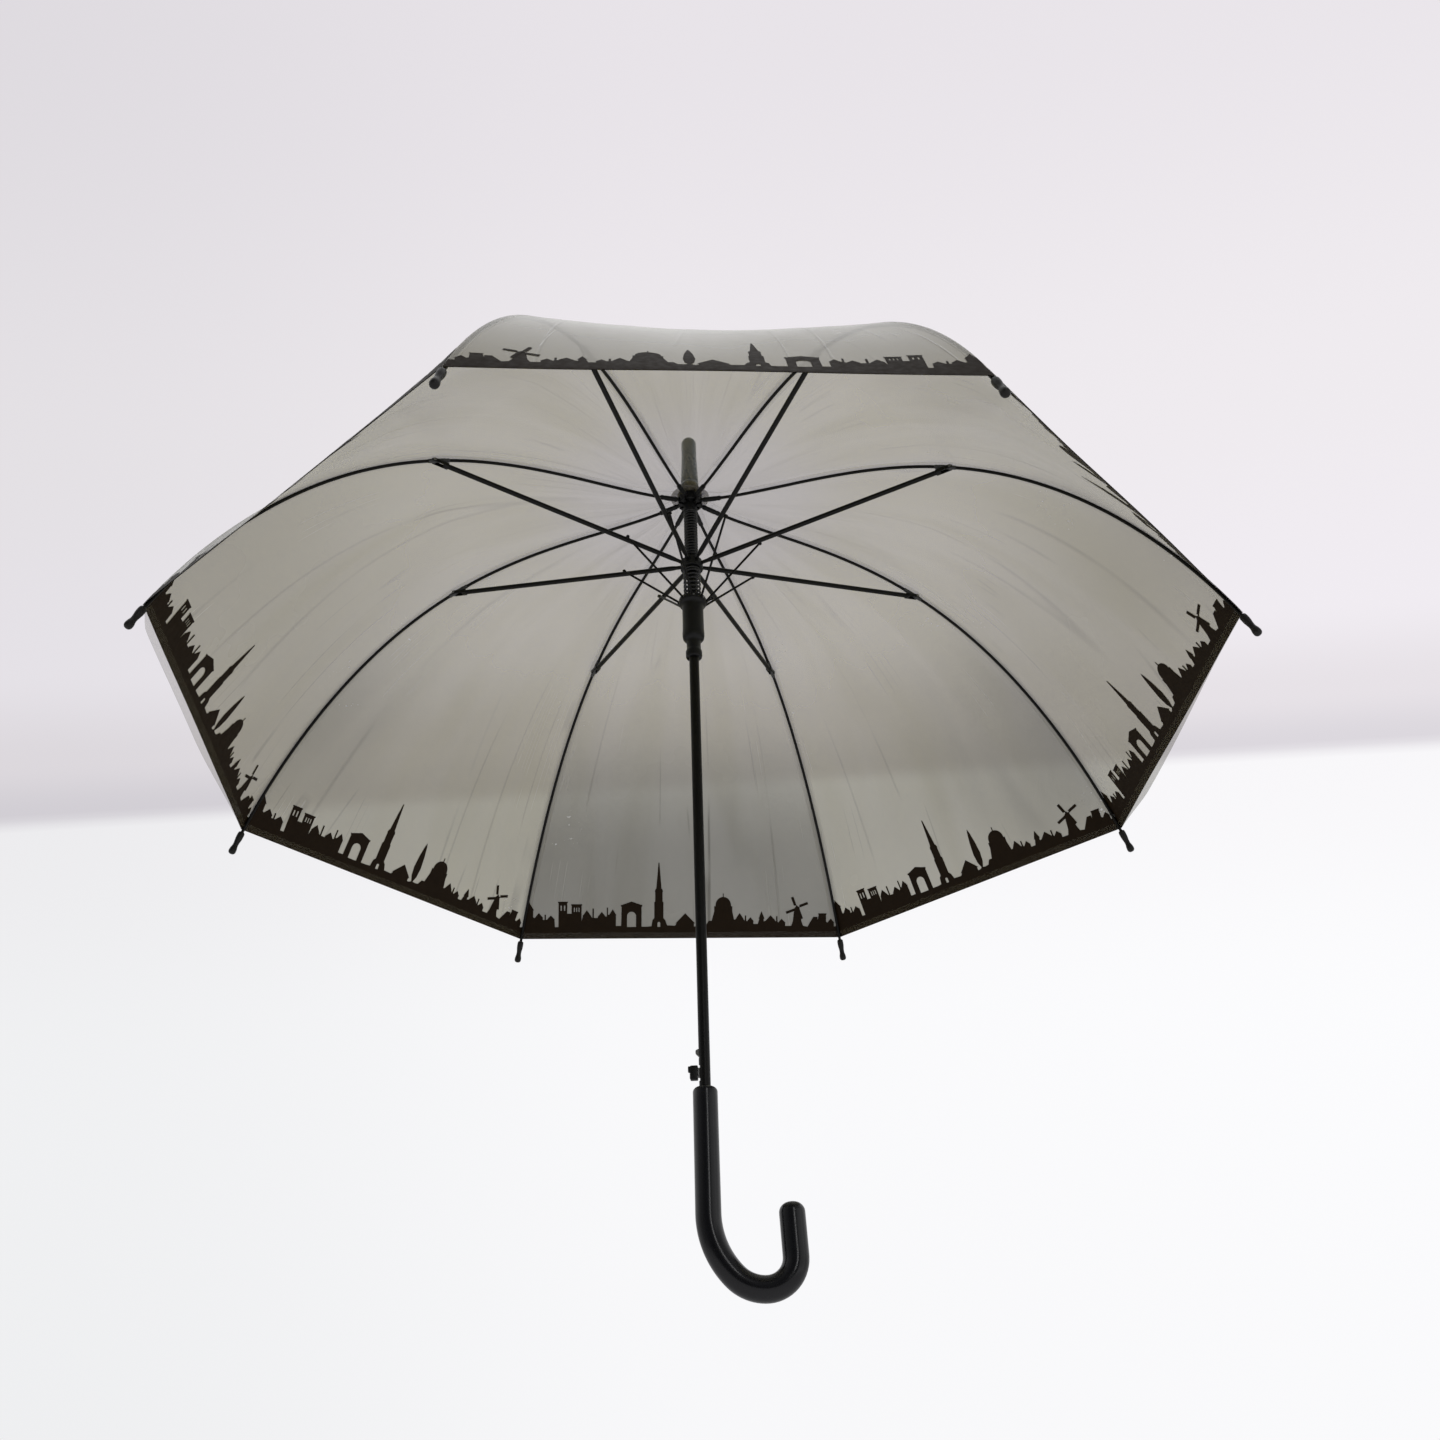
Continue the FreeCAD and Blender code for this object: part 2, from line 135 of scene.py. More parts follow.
def detail(m, nt, b, color, dark, scale, rough, spread, bump, stretch=(1, 1, 1), bump_scale=None):
    """Noise in object space drives the colour, the roughness and a fine bump."""
    N, L = nt.nodes, nt.links
    co = N.new("ShaderNodeTexCoord")
    mp = N.new("ShaderNodeMapping")
    mp.inputs["Scale"].default_value = stretch
    L.new(co.outputs["Object"], mp.inputs["Vector"])
    n1 = N.new("ShaderNodeTexNoise")
    n1.inputs["Scale"].default_value = scale
    n1.inputs["Detail"].default_value = 6
    L.new(mp.outputs["Vector"], n1.inputs["Vector"])
    mix = N.new("ShaderNodeMix")
    mix.data_type = "RGBA"
    mix.inputs[6].default_value = (*dark, 1)
    mix.inputs[7].default_value = (*color, 1)
    L.new(n1.outputs["Fac"], mix.inputs[0])
    L.new(mix.outputs[2], b.inputs["Base Color"])
    mr = N.new("ShaderNodeMapRange")
    mr.inputs["From Min"].default_value = 0.3
    mr.inputs["From Max"].default_value = 0.7
    mr.inputs["To Min"].default_value = rough - spread
    mr.inputs["To Max"].default_value = rough + spread
    n2 = N.new("ShaderNodeTexNoise")
    n2.inputs["Scale"].default_value = scale * 2.3
    n2.inputs["Detail"].default_value = 4
    L.new(mp.outputs["Vector"], n2.inputs["Vector"])
    L.new(n2.outputs["Fac"], mr.inputs["Value"])
    L.new(mr.outputs["Result"], b.inputs["Roughness"])
    n3 = N.new("ShaderNodeTexNoise")
    n3.inputs["Scale"].default_value = bump_scale or scale * 6
    n3.inputs["Detail"].default_value = 3
    L.new(mp.outputs["Vector"], n3.inputs["Vector"])
    bp = N.new("ShaderNodeBump")
    bp.inputs["Strength"].default_value = bump
    bp.inputs["Distance"].default_value = 0.0004
    L.new(n3.outputs["Fac"], bp.inputs["Height"])
    L.new(bp.outputs["Normal"], b.inputs["Normal"])
    return m


def mat_simple(name, color, dark, rough, spread, scale=180, bump=0.08, metallic=0.0, spec=0.5, coat=0.0, coat_rough=0.1, stretch=(1, 1, 1), bump_scale=None):
    m, nt, b = principled(name, color, rough, metallic, spec, coat, coat_rough)
    return detail(m, nt, b, color, dark, scale, rough, spread, bump, stretch, bump_scale)


M_STEEL = mat_simple("black_painted_steel", (0.0050, 0.0048, 0.0040), (0.003, 0.003, 0.0025), 0.38, 0.07, 220, 0.10, spec=0.22, stretch=(1, 1, 0.25))
M_ROD = mat_simple("rib_rod_paint", (0.0055, 0.0050, 0.0038), (0.0035, 0.0032, 0.0025), 0.45, 0.08, 260, 0.12, spec=0.20)
M_PLASTIC = mat_simple("black_moulded_plastic", (0.0075, 0.0078, 0.0080), (0.0045, 0.0048, 0.005), 0.42, 0.07, 300, 0.18, spec=0.28)
M_HANDLE = mat_simple("black_gloss_handle", (0.0048, 0.0050, 0.0068), (0.0030, 0.0032, 0.0045), 0.22, 0.04, 45, 0.0, spec=0.36, coat=0.10, coat_rough=0.14, bump_scale=200)
M_FERRULE = mat_simple("smoke_ferrule_plastic", (0.018, 0.060, 0.150), (0.013, 0.043, 0.108), 0.28, 0.06, 140, 0.08, spec=0.5, coat=0.2, coat_rough=0.1)
M_CLIP = mat_simple("grey_clip_plastic", (0.055, 0.056, 0.055), (0.032, 0.033, 0.033), 0.45, 0.06, 380, 0.15)
M_TIP = mat_simple("tip_plastic", (0.009, 0.008, 0.0065), (0.005, 0.0045, 0.004), 0.42, 0.06, 420, 0.12, spec=0.3)
M_WIRE = mat_simple("zinc_wire", (0.32, 0.32, 0.31), (0.18, 0.18, 0.17), 0.35, 0.1, 500, 0.1, metallic=1.0)
M_SPRING = mat_simple("spring_wire", (0.022, 0.023, 0.025), (0.010, 0.010, 0.011), 0.30, 0.08, 420, 0.08, spec=0.6)
M_INK = mat_simple("print_ink", (0.019, 0.011, 0.0045), (0.013, 0.0075, 0.003), 0.60, 0.06, 90, 0.05, spec=0.10)
M_INSIDE = mat_simple("tube_end_black", (0.006, 0.006, 0.006), (0.004, 0.004, 0.004), 0.6, 0.05)


def film_material(name, inside, inside_rim, outside, a_in, a_rim, a_face_on_shade, a_out, a_graze, a_fold, rough, spec):
    """Smoke-tinted clear vinyl. The UV map holds metres: across the panel from the rib seam, and along the rib.
    The inner face is a little milkier than the glossy outer one and is made more opaque towards the hem; near the hem
    it also carries painted shade, greyer and more opaque where seen face on."""
    m = bpy.data.materials.new(name)
    m.use_nodes = True
    nt = m.node_tree
    N, L = nt.nodes, nt.links
    b = N["Principled BSDF"]
    b.inputs["Specular IOR Level"].default_value = spec
    b.inputs["IOR"].default_value = 1.45

    def put(sock, v):
        if isinstance(v, (int, float)):
            sock.default_value = v
        elif isinstance(v, tuple):
            sock.default_value = (*v, 1)
        else:
            L.new(v, sock)

    def math_node(op, a, c=None, clamp=False):
        n = N.new("ShaderNodeMath")
        n.operation = op
        n.use_clamp = clamp
        put(n.inputs[0], a)
        if c is not None:
            put(n.inputs[1], c)
        return n.outputs[0]

    def ramp(v, f0, f1, t0, t1):
        n = N.new("ShaderNodeMapRange")
        n.interpolation_type = "SMOOTHSTEP"
        for q, val in (("From Min", f0), ("From Max", f1), ("To Min", t0), ("To Max", t1)):
            put(n.inputs[q], val)
        L.new(v, n.inputs["Value"])
        return n.outputs["Result"]

    def mix(f, a, c, kind="MIX"):
        n = N.new("ShaderNodeMix")
        n.data_type = "RGBA"
        n.blend_type = kind
        put(n.inputs[0], f)
        put(n.inputs[6], a)
        put(n.inputs[7], c)
        return n.outputs[2]

    def noise(vec, scale, detail_, distortion=0.0):
        n = N.new("ShaderNodeTexNoise")
        n.inputs["Scale"].default_value = scale
        n.inputs["Detail"].default_value = detail_
        n.inputs["Distortion"].default_value = distortion
        L.new(vec, n.inputs["Vector"])
        return n.outputs["Fac"]

    uv = N.new("ShaderNodeUVMap")
    uv.uv_map = "UVMap"
    sep = N.new("ShaderNodeSeparateXYZ")
    L.new(uv.outputs["UV"], sep.inputs[0])
    across, along = sep.outputs[0], sep.outputs[1]
    lw = N.new("ShaderNodeLayerWeight")
    lw.inputs["Blend"].default_value = 0.5
    facing = lw.outputs["Facing"]
    back = N.new("ShaderNodeNewGeometry").outputs["Backfacing"]
    co = N.new("ShaderNodeTexCoord").outputs["Object"]
    # angle round the crown counted in panels, so that pressed creases run from the crown to the hem
    turn = N.new("ShaderNodeMapping")
    turn.inputs["Rotation"].default_value = (0, 0, math.radians(17.3))
    L.new(co, turn.inputs["Vector"])
    sp = N.new("ShaderNodeSeparateXYZ")
    L.new(turn.outputs["Vector"], sp.inputs[0])
    panel = math_node("MULTIPLY", math_node("ARCTAN2", sp.outputs[1], sp.outputs[0]), 4 / math.pi)
    polar = N.new("ShaderNodeCombineXYZ")
    L.new(panel, polar.inputs[0])
    L.new(along, polar.inputs[1])

    def polar_noise(sx, sy, seed, detail_, distortion):
        q = N.new("ShaderNodeMapping")
        q.inputs["Scale"].default_value = (sx, sy, 1)
        q.inputs["Location"].default_value = (0, 0, seed)
        L.new(polar.outputs[0], q.inputs["Vector"])
        return noise(q.outputs["Vector"], 1.0, detail_, distortion)

    def contour(v, count, width):
        """Thin lines where the field crosses evenly spaced levels."""
        w = math_node("MULTIPLY", v, count)
        w = math_node("ABSOLUTE", math_node("SUBTRACT", math_node("FRACT", w), 0.5))
        return ramp(w, 0.0, width, 1.0, 0.0)

    cloud = noise(co, 5.0, 4)
    fold = polar_noise(4.5, 3.0, 1.7, 3, 0.5)
    patch = ramp(polar_noise(5.0, 6.0, 9.1, 1, 0.3), 0.42, 0.56, 0.0, 1.0)
    crease = math_node("MULTIPLY", contour(polar_noise(2.5, 0.5, 4.3, 0, 0.0), 6.0, 0.045), patch)
    fine_dark_line = math_node("MULTIPLY", contour(polar_noise(8.0, 0.8, 6.6, 0, 0.0), 7.0, 0.07), ramp(polar_noise(4.0, 8.0, 2.9, 1, 0.3), 0.56, 0.66, 0.0, 1.0))
    near_rib = ramp(math_node("ABSOLUTE", math_node("SUBTRACT", math_node("FRACT", panel), 0.5)), 0.34, 0.46, 0.0, 1.0)
    glint = math_node("MULTIPLY", ramp(noise(co, 230.0, 1), 0.66, 0.72, 0.0, 1.0), math_node("MULTIPLY", near_rib, ramp(noise(co, 16.0, 1), 0.60, 0.68, 0.0, 1.0)))
    seam = math_node("MULTIPLY", ramp(across, 0.0040, 0.0046, 0.0, 1.0), ramp(across, 0.0058, 0.0066, 1.0, 0.0))
    # marks in the map tell the thin folded hem and the two slack edges from the panel itself
    thin = ramp(along, 0.5975, 0.5985, 1.0, 1.0 - a_fold)
    thin = math_node("ADD", thin, ramp(along, 0.610, 0.615, 0.0, 0.40))
    thin = math_node("ADD", thin, ramp(along, 0.628, 0.634, 0.0, 0.22))
    crown = ramp(along, 0.07, 0.18, 1.0, 0.0)
    rays = math_node("MULTIPLY", contour(polar_noise(6.0, 0.20, 3.1, 0, 0.0), 8.0, 0.055), ramp(along, 0.03, 0.06, 0.0, 1.0))
    rays = math_node("MULTIPLY", rays, math_node("MULTIPLY", ramp(along, 0.10, 0.26, 1.0, 0.0), ramp(polar_noise(3.0, 4.0, 7.7, 1, 0.2), 0.40, 0.58, 0.0, 1.0)))
    # pale streaks near the ribs: scratches with a painted glint
    scratch_and_glint = math_node("MULTIPLY", contour(polar_noise(9.0, 0.7, 5.5, 0, 0.0), 8.0, 0.06), ramp(polar_noise(5.0, 11.0, 8.3, 1, 0.3), 0.57, 0.64, 0.0, 1.0))
    scratch_and_glint = math_node("MULTIPLY", scratch_and_glint, ramp(math_node("ABSOLUTE", math_node("SUBTRACT", math_node("FRACT", panel), 0.5)), 0.22, 0.40, 0.0, 1.0))
    rim = ramp(along, 0.22, 0.50, 0.0, 1.0)
    # painted shade: near the hem the inner face turns greyer and more opaque where it is seen face on
    face_on_painted_shade = math_node("MULTIPLY", ramp(facing, 0.0, 0.13, 1.0, 0.0), rim)
    tone = math_node("MULTIPLY", ramp(cloud, 0.3, 0.7, 0.94, 1.05), ramp(fold, 0.3, 0.7, 0.955, 1.035))
    comb = N.new("ShaderNodeCombineColor")
    for i in range(3):
        L.new(tone, comb.inputs[i])
    inner_tint = mix(rim, mix(crown, inside, (0.78 * inside[0], 0.75 * inside[1], 2.3 * inside[2])), inside_rim)
    # painted shade: greyer where the film is seen face on near the hem
    inner_tint = mix(math_node("MULTIPLY", face_on_painted_shade, 0.85), inner_tint, tuple(0.32 + 0.18 * (c - 0.32) for c in inside_rim))
    # painted shade: the outer face is darker where it is seen at a grazing angle
    outer_tint = mix(ramp(facing, 0.50, 0.85, 0.0, 1.0), outside, tuple(0.70 * c for c in outside))
    base = mix(1.0, mix(back, outer_tint, inner_tint), comb.outputs[0], "MULTIPLY")
    # painted shade: the crease and ray lines darken the film
    base = mix(math_node("MULTIPLY", math_node("ADD", crease, rays), 0.24), base, (0.06, 0.055, 0.04))
    # darker fine lines, with a little bump
    base = mix(math_node("MULTIPLY", fine_dark_line, 0.30), base, (0.08, 0.075, 0.06))
    base = mix(math_node("MULTIPLY", seam, 0.30), base, (0.50, 0.48, 0.42))
    # painted glint: pale scratch streaks near the ribs
    base = mix(math_node("MULTIPLY", scratch_and_glint, 0.40), base, (0.80, 0.79, 0.76))
    base = mix(glint, base, (0.95, 0.95, 0.95))
    L.new(base, b.inputs["Base Color"])
    # inner alpha: rises towards the hem, with painted shade (more opaque) where seen face on
    inner = math_node("ADD", math_node("MULTIPLY", rim, a_rim - a_in), math_node("ADD", math_node("MULTIPLY", face_on_painted_shade, a_face_on_shade), a_in))
    outer = math_node("ADD", math_node("MULTIPLY", ramp(facing, 0.15, 0.75, 0.0, 1.0), a_graze), a_out)
    inner = math_node("SUBTRACT", inner, math_node("MULTIPLY", crown, 0.045))
    n = N.new("ShaderNodeMix")
    L.new(back, n.inputs[0])
    L.new(outer, n.inputs[2])
    L.new(inner, n.inputs[3])
    alpha = n.outputs[0]
    for v, k in ((seam, 0.06), (crease, 0.028), (rays, 0.03), (fine_dark_line, 0.03), (scratch_and_glint, 0.10), (glint, 0.35)):
        alpha = math_node("ADD", alpha, math_node("MULTIPLY", v, k))
    alpha = math_node("ADD", alpha, ramp(fold, 0.3, 0.75, -0.02, 0.035))
    alpha = math_node("MULTIPLY", alpha, thin, True)
    L.new(alpha, b.inputs["Alpha"])
    L.new(ramp(cloud, 0.3, 0.7, rough - 0.05, rough + 0.07), b.inputs["Roughness"])
    height = math_node("ADD", math_node("MULTIPLY", fold, 1.0), math_node("MULTIPLY", noise(co, 70.0, 2), 0.05))
    height = math_node("ADD", height, math_node("MULTIPLY", seam, 0.2))
    height = math_node("ADD", height, math_node("MULTIPLY", crease, 0.35))
    height = math_node("ADD", height, math_node("MULTIPLY", fine_dark_line, 0.10))
    bp = N.new("ShaderNodeBump")
    bp.inputs["Strength"].default_value = 0.4
    bp.inputs["Distance"].default_value = 0.002
    L.new(height, bp.inputs["Height"])
    L.new(bp.outputs["Normal"], b.inputs["Normal"])
    return m


M_FILM = film_material("smoke_clear_film", (0.25, 0.227, 0.035), (0.365, 0.340, 0.215), (0.385, 0.350, 0.258), 0.60, 0.785, 0.165, 0.51, 0.34, 0.92, 0.22, 0.25)
M_WELT = film_material("film_welt", (0.22, 0.20, 0.12), (0.30, 0.28, 0.20), (0.36, 0.34, 0.30), 0.18, 0.24, 0.05, 0.20, 0.15, 0.0, 0.22, 0.30)
M_FLOOR = mat_simple("pale_floor", (0.93, 0.92, 0.93), (0.89, 0.88, 0.89), 0.7, 0.1, 3, 0.02, spec=0.2)
M_WASHER = film_material("clear_washer_film", (0.30, 0.29, 0.22), (0.30, 0.29, 0.22), (0.40, 0.39, 0.36), 0.50, 0.50, 0.05, 0.45, 0.20, 0.0, 0.2, 0.5)


# ------------------------------------------------------------------ mesh helpers
def mesh_object(name, verts, faces, mat, smooth=True, uvs=None, angle=None):
    me = bpy.data.meshes.new(name)
    me.from_pydata([tuple(v) for v in verts], [], faces)
    me.validate()
    if uvs:
        layer = me.uv_layers.new(name="UVMap")
        for loop in me.loops:
            layer.data[loop.index].uv = uvs[loop.vertex_index]
    ob = bpy.data.objects.new(name, me)
    bpy.context.scene.collection.objects.link(ob)
    me.materials.append(mat)
    for p in me.polygons:
        p.use_smooth = smooth
    if angle is not None:
        bm = bmesh.new()
        bm.from_mesh(me)
        for e in bm.edges:
            if len(e.link_faces) == 2 and e.calc_face_angle(0) > math.radians(angle):
                e.smooth = False
        bm.to_mesh(me)
        bm.free()
    return ob


def fix_normals(ob):
    bm = bmesh.new()
    bm.from_mesh(ob.data)
    bmesh.ops.recalc_face_normals(bm, faces=bm.faces)
    bm.to_mesh(ob.data)
    bm.free()
    return ob


def tube(name, centres, radii, side, mat, segs=20, flat=1.0):
    """Closed tube along points that lie in one plane; side is that plane's normal."""
    verts, faces = [], []
    n = len(centres)
    side = side.normalized()
    for i, c in enumerate(centres):
        d = (centres[min(i + 1, n - 1)] - centres[max(i - 1, 0)]).normalized()
        up = side.cross(d).normalized()
        for j in range(segs):
            a = 2 * math.pi * j / segs
            verts.append(c + side * (math.cos(a) * radii[i]) + up * (math.sin(a) * radii[i] * flat))
    for i in range(n - 1):
        for j in range(segs):
            k = (j + 1) % segs
            faces.append((i * segs + j, i * segs + k, (i + 1) * segs + k, (i + 1) * segs + j))
    faces.append(tuple(range(segs))[::-1])
    faces.append(tuple((n - 1) * segs + j for j in range(segs)))
    return fix_normals(mesh_object(name, verts, faces, mat, angle=40))


def lathe(name, profile, mat, segs=72, axis_at=None, direction=None, angle=32):
    """Turned solid from (radius, height) points in millimetres, closed."""
    verts, faces = [], []
    rings = []
    for r, z in profile:
        if r < 1e-6:
            rings.append([len(verts)])
            verts.append(Vector((0, 0, z / 1000)))
        else:
            rings.append(list(range(len(verts), len(verts) + segs)))
            for j in range(segs):
                a = 2 * math.pi * j / segs
                verts.append(Vector((r * math.cos(a), r * math.sin(a), z)) / 1000)
    pairs = list(zip(rings, rings[1:]))
    if len(rings[0]) > 1 and len(rings[-1]) > 1:
        pairs.append((rings[-1], rings[0]))
    for a, b in pairs:
        if len(a) == 1 and len(b) == 1:
            continue
        for j in range(segs):
            k = (j + 1) % segs
            if len(a) == 1:
                faces.append((a[0], b[j], b[k]))
            elif len(b) == 1:
                faces.append((a[j], b[0], a[k]))
            else:
                faces.append((a[j], b[j], b[k], a[k]))
    if axis_at is not None:
        q = direction.to_track_quat("Z", "Y").to_matrix()
        verts = [axis_at + q @ v for v in verts]
    else:
        verts = [v + Vector((0, 0, HZ / 1000)) for v in verts]
    return fix_normals(mesh_object(name, verts, faces, mat, angle=angle))


def disc(name, centre, normal, radius, half, mat, hole=0.0, segs=28, bevel=0.25):
    """Round flat eye or rivet, edges eased; sizes in millimetres."""
    b = min(bevel, half * 0.6)
    if hole:
        prof = [(hole, -half + b * 0.5), (hole + b * 0.5, -half), (radius - b, -half), (radius, -half + b), (radius, half - b), (radius - b, half), (hole + b * 0.5, half), (hole, half - b * 0.5)]
    else:
        prof = [(0, -half), (radius - b, -half), (radius, -half + b), (radius, half - b), (radius - b, half), (0, half)]
    return lathe(name, prof, mat, segs, centre, normal)


def bar(name, a, b, side, half_side, half_up, mat, end_scale=1.0, bevel=0.35):
    """Flat bar between two points, with eased edges; sizes in millimetres."""
    d = (b - a).normalized()
    up = side.cross(d).normalized()
    verts, faces = [], []
    for c, f in ((a, 1.0), (b, end_scale)):
        for x, y in ((-1, -1), (1, -1), (1, 1), (-1, 1)):
            verts.append(c + (side * (x * half_side) + up * (y * half_up * f)) / 1000)
    faces = [(0, 1, 2, 3), (4, 7, 6, 5), (0, 4, 5, 1), (1, 5, 6, 2), (2, 6, 7, 3), (3, 7, 4, 0)]
    ob = mesh_object(name, verts, faces, mat)
    bm = bmesh.new()
    bm.from_mesh(ob.data)
    bmesh.ops.bevel(bm, geom=list(bm.edges), offset=bevel / 1000, segments=2, profile=0.6, affect="EDGES")
    bm.to_mesh(ob.data)
    bm.free()
    return fix_normals(ob)


def join(name, parts):
    """Joins mesh objects into the first and names the result."""
    bm = bmesh.new()
    mats = []
    for p in parts:
        base = len(bm.faces)
        me = p.data
        remap = []
        for mt in me.materials:
            if mt not in mats:
                mats.append(mt)
            remap.append(mats.index(mt))
        bm.from_mesh(me)
        bm.faces.ensure_lookup_table()
        for f in bm.faces[base:]:
            f.material_index = remap[f.material_index]
    first = parts[0]
    bm.to_mesh(first.data)
    bm.free()
    first.data.materials.clear()
    for mt in mats:
        first.data.materials.append(mt)
    for p in parts[1:]:
        bpy.data.objects.remove(p)
    first.name = name
    return first


def place(ob, body, slot, *nodes):
    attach(ob, body)
    if nodes:
        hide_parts(*nodes)
    return ob


# ------------------------------------------------------------------ shaft, ferrule, crown
def shaft_mesh():
    prof = [(4.0, Z_HANDLE - 43.8), (4.45, Z_HANDLE - 43.8), (4.6, Z_HANDLE - 43.5), (4.6, Z_HANDLE + 2.0), (4.6, -300), (4.6, 41.8), (4.0, 41.8)]
    ob = lathe("shaft", prof, M_STEEL, 64)
    for x0, y, z0, z1 in ((-6, 1.6, -586.2, -576.8), (-6, 2.7, -605.2, -591.0)):
        cut = mesh_object("cut", [Vector((x, yy, z + HZ)) / 1000 for x in (x0, -1.5) for yy in (-y, y) for z in (z0, z1)],
                          [(0, 1, 3, 2), (4, 6, 7, 5), (0, 4, 5, 1), (2, 3, 7, 6), (0, 2, 6, 4), (1, 5, 7, 3)], M_STEEL)
        fix_normals(cut)
        md = ob.modifiers.new("w", "BOOLEAN")
        md.operation, md.solver, md.object = "DIFFERENCE", "EXACT", cut
        dg = bpy.context.evaluated_depsgraph_get()
        new = bpy.data.meshes.new_from_object(ob.evaluated_get(dg))
        ob.modifiers.clear()
        ob.data = new
        bpy.data.objects.remove(cut)
    for p in ob.data.polygons:
        p.use_smooth = True
    bm = bmesh.new()
    bm.from_mesh(ob.data)
    for e in bm.edges:
        if len(e.link_faces) == 2 and e.calc_face_angle(0) > math.radians(30):
            e.smooth = False
    bm.to_mesh(ob.data)
    bm.free()
    return ob


place(shaft_mesh(), ROOT, "black_steel", "shaft_tube")

cap = [(4.65, 20.8), (8.75, 20.8), (8.95, 21.1), (8.95, 23.0), (8.7, 23.4), (8.68, 24.6), (8.9, 25.0)]
cap += [(8.9 - (8.9 - 7.65) * t, 25.0 + 34.0 * t) for t in (0.25, 0.5, 0.75, 1.0)] + [(7.65, 66.0), (7.65, 78.0)]
cap += [(7.65 * math.cos(a), 78.0 + 8.6 * math.sin(a)) for a in [math.radians(9 * i) for i in range(1, 10)]] + [(0, 86.6)]
cap += [(0, 43.0), (4.65, 43.0)]
place(lathe("ferrule_cap", cap, M_FERRULE, 72), ROOT, "ferrule_plastic", "ferrule")
place(lathe("crown_collar", [(4.65, 8.7), (12.2, 8.7), (12.45, 9.0), (12.4, 9.5), (11.2, 10.6), (10.2, 11.9), (9.7, 13.2), (9.35, 16.5), (9.15, 20.0), (8.9, 20.45), (4.65, 20.45)], M_PLASTIC, 72), ROOT, "ferrule_plastic", "ferrule_collar")


# ------------------------------------------------------------------ film surface
SAG = 9.0
CROWN = [(-2.0, 5.2, 6.45), (6.0, 12.4, 6.4), (14.5, 20.5, 4.2)]


def film_profile(s):
    """Radius, height and slope of the film's middle face in a rib plane."""
    if s >= 26.0:
        r, z, a = rib_at(min(s, 612.0))
        t = min(max((s - 26.0) / 34.0, 0.0), 1.0)
        off = 3.25 - 1.0 * t * t * (3 - 2 * t)
        d = min(abs(s - S_J) / 30.0, 1.0)
        off += 1.15 * (1 - d * d) ** 2
        return r + math.sin(a) * off, z + math.cos(a) * off, a
    r, z, a = rib_at(26.0)
    pts = CROWN + [(26.0, r + math.sin(a) * 3.25, z + math.cos(a) * 3.25)]
    for (s0, r0, z0), (s1, r1, z1) in zip(pts, pts[1:]):
        if s <= s1:
            t = (s - s0) / (s1 - s0)
            return r0 + (r1 - r0) * t, z0 + (z1 - z0) * t, math.atan2(z0 - z1, r1 - r0)


def sag(s):
    if s <= 40.0:
        return 0.0
    x = (s - 40.0) / (S_HEM - 40.0)
    return SAG * math.sin(math.pi * x ** 2.06) if x < 1 else 0.0


rng = random.Random(41)
CREASES = [[(rng.uniform(0.12, 0.88), rng.uniform(-0.14, 0.14), rng.uniform(0.35, 0.9), rng.uniform(9.0, 17.0), rng.uniform(60, 230), rng.uniform(260, 560))
            for _ in range(9)] for _ in range(8)]
RIPPLES = [[(rng.uniform(1.2, 3.4), rng.uniform(0, 6.28), rng.uniform(1.5, 4.0), rng.uniform(0, 6.28), rng.uniform(0.15, 0.4)) for _ in range(4)] for _ in range(8)]


def wrinkle(k, u, s):
    """Small folds of a panel, in millimetres along its normal; none on the ribs."""
    width = 0.7654 * film_profile(s)[0]
    edge = min(1.0, 5 * u * (1 - u))
    fade = min(1.0, max(0.0, (s - 30) / 60.0))
    w = 0.0
    for u0, du, amp, sig, sa, sb in CREASES[k]:
        c = u0 + du * (s - 300) / 300.0
        d = (u - c) * width / sig
        if abs(d) < 4:
            env = 1 / (1 + math.exp(-(s - sa) / 25.0)) / (1 + math.exp((s - sb) / 25.0))
            w += amp * 0.5 * math.exp(-d * d) * env * (1 - 0.5 * d * d)
    for fu, pu, fs, ps, amp in RIPPLES[k]:
        w += amp * math.sin(fu * math.pi * u + pu) * math.sin(fs * math.pi * s / 586.5 + ps)
    return w * edge * fade


def film_point(k, u, s, off=0.0):
    """Point of panel k (between rib planes k and k+1) in millimetres from the hinge ring."""
    r, z, a = film_profile(s)
    e0, e1 = out_dir(k), out_dir(k + 1)
    mid = (e0 + e1).normalized()
    n = mid * math.sin(a) + Vector((0, 0, math.cos(a)))
    p = (e0 * (1 - u) + e1 * u) * r + Vector((0, 0, z))
    return p + n * (off - sag(s) * 4 * u * (1 - u) + wrinkle(k, u, s))


def metres(p):
    return (p + Vector((0, 0, HZ))) / 1000.0


def film_normal(k, u, s):
    h = 1.0
    s0, s1 = max(s - h, -2.0), min(s + h, 611.0)
    du = h / (0.7654 * film_profile(s)[0])
    a = film_point(k, min(u + du, 1.0), s) - film_point(k, max(u - du, 0.0), s)
    b = film_point(k, u, s1) - film_point(k, u, s0)
    n = b.cross(a).normalized()
    return n if n.z > 0 or n.dot(out_dir(k) + out_dir(k + 1)) > 0 else -n


def set_normals(ob, normals):
    me = ob.data
    for p in me.polygons:
        p.use_smooth = True
    me.normals_split_custom_set_from_vertices([tuple(n) for n in normals])


ROWS_IN = [-2, 2.5, 6, 8.5, 11.5, 14.5, 18, 22, 26, 33, 41, 50] + [50 + (S_J - 50) * i / 26 for i in range(1, 27)]
ROWS_OUT = [S_J + (S_HEM - S_J) * i / 42 for i in range(43)]
COLS = 20


def fold_up(ob, i, inner):
    body = ("rib_%d" if inner else "rib_outer_%d") % (i % 8 + 1)
    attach(ob, body)
    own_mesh(ob)


LIP = 8.5
SLACK = (1, 5)


def ease(x, a, b):
    x = max(0.0, min(1.0, (x - a) / (b - a)))
    return x * x * (3 - 2 * x)


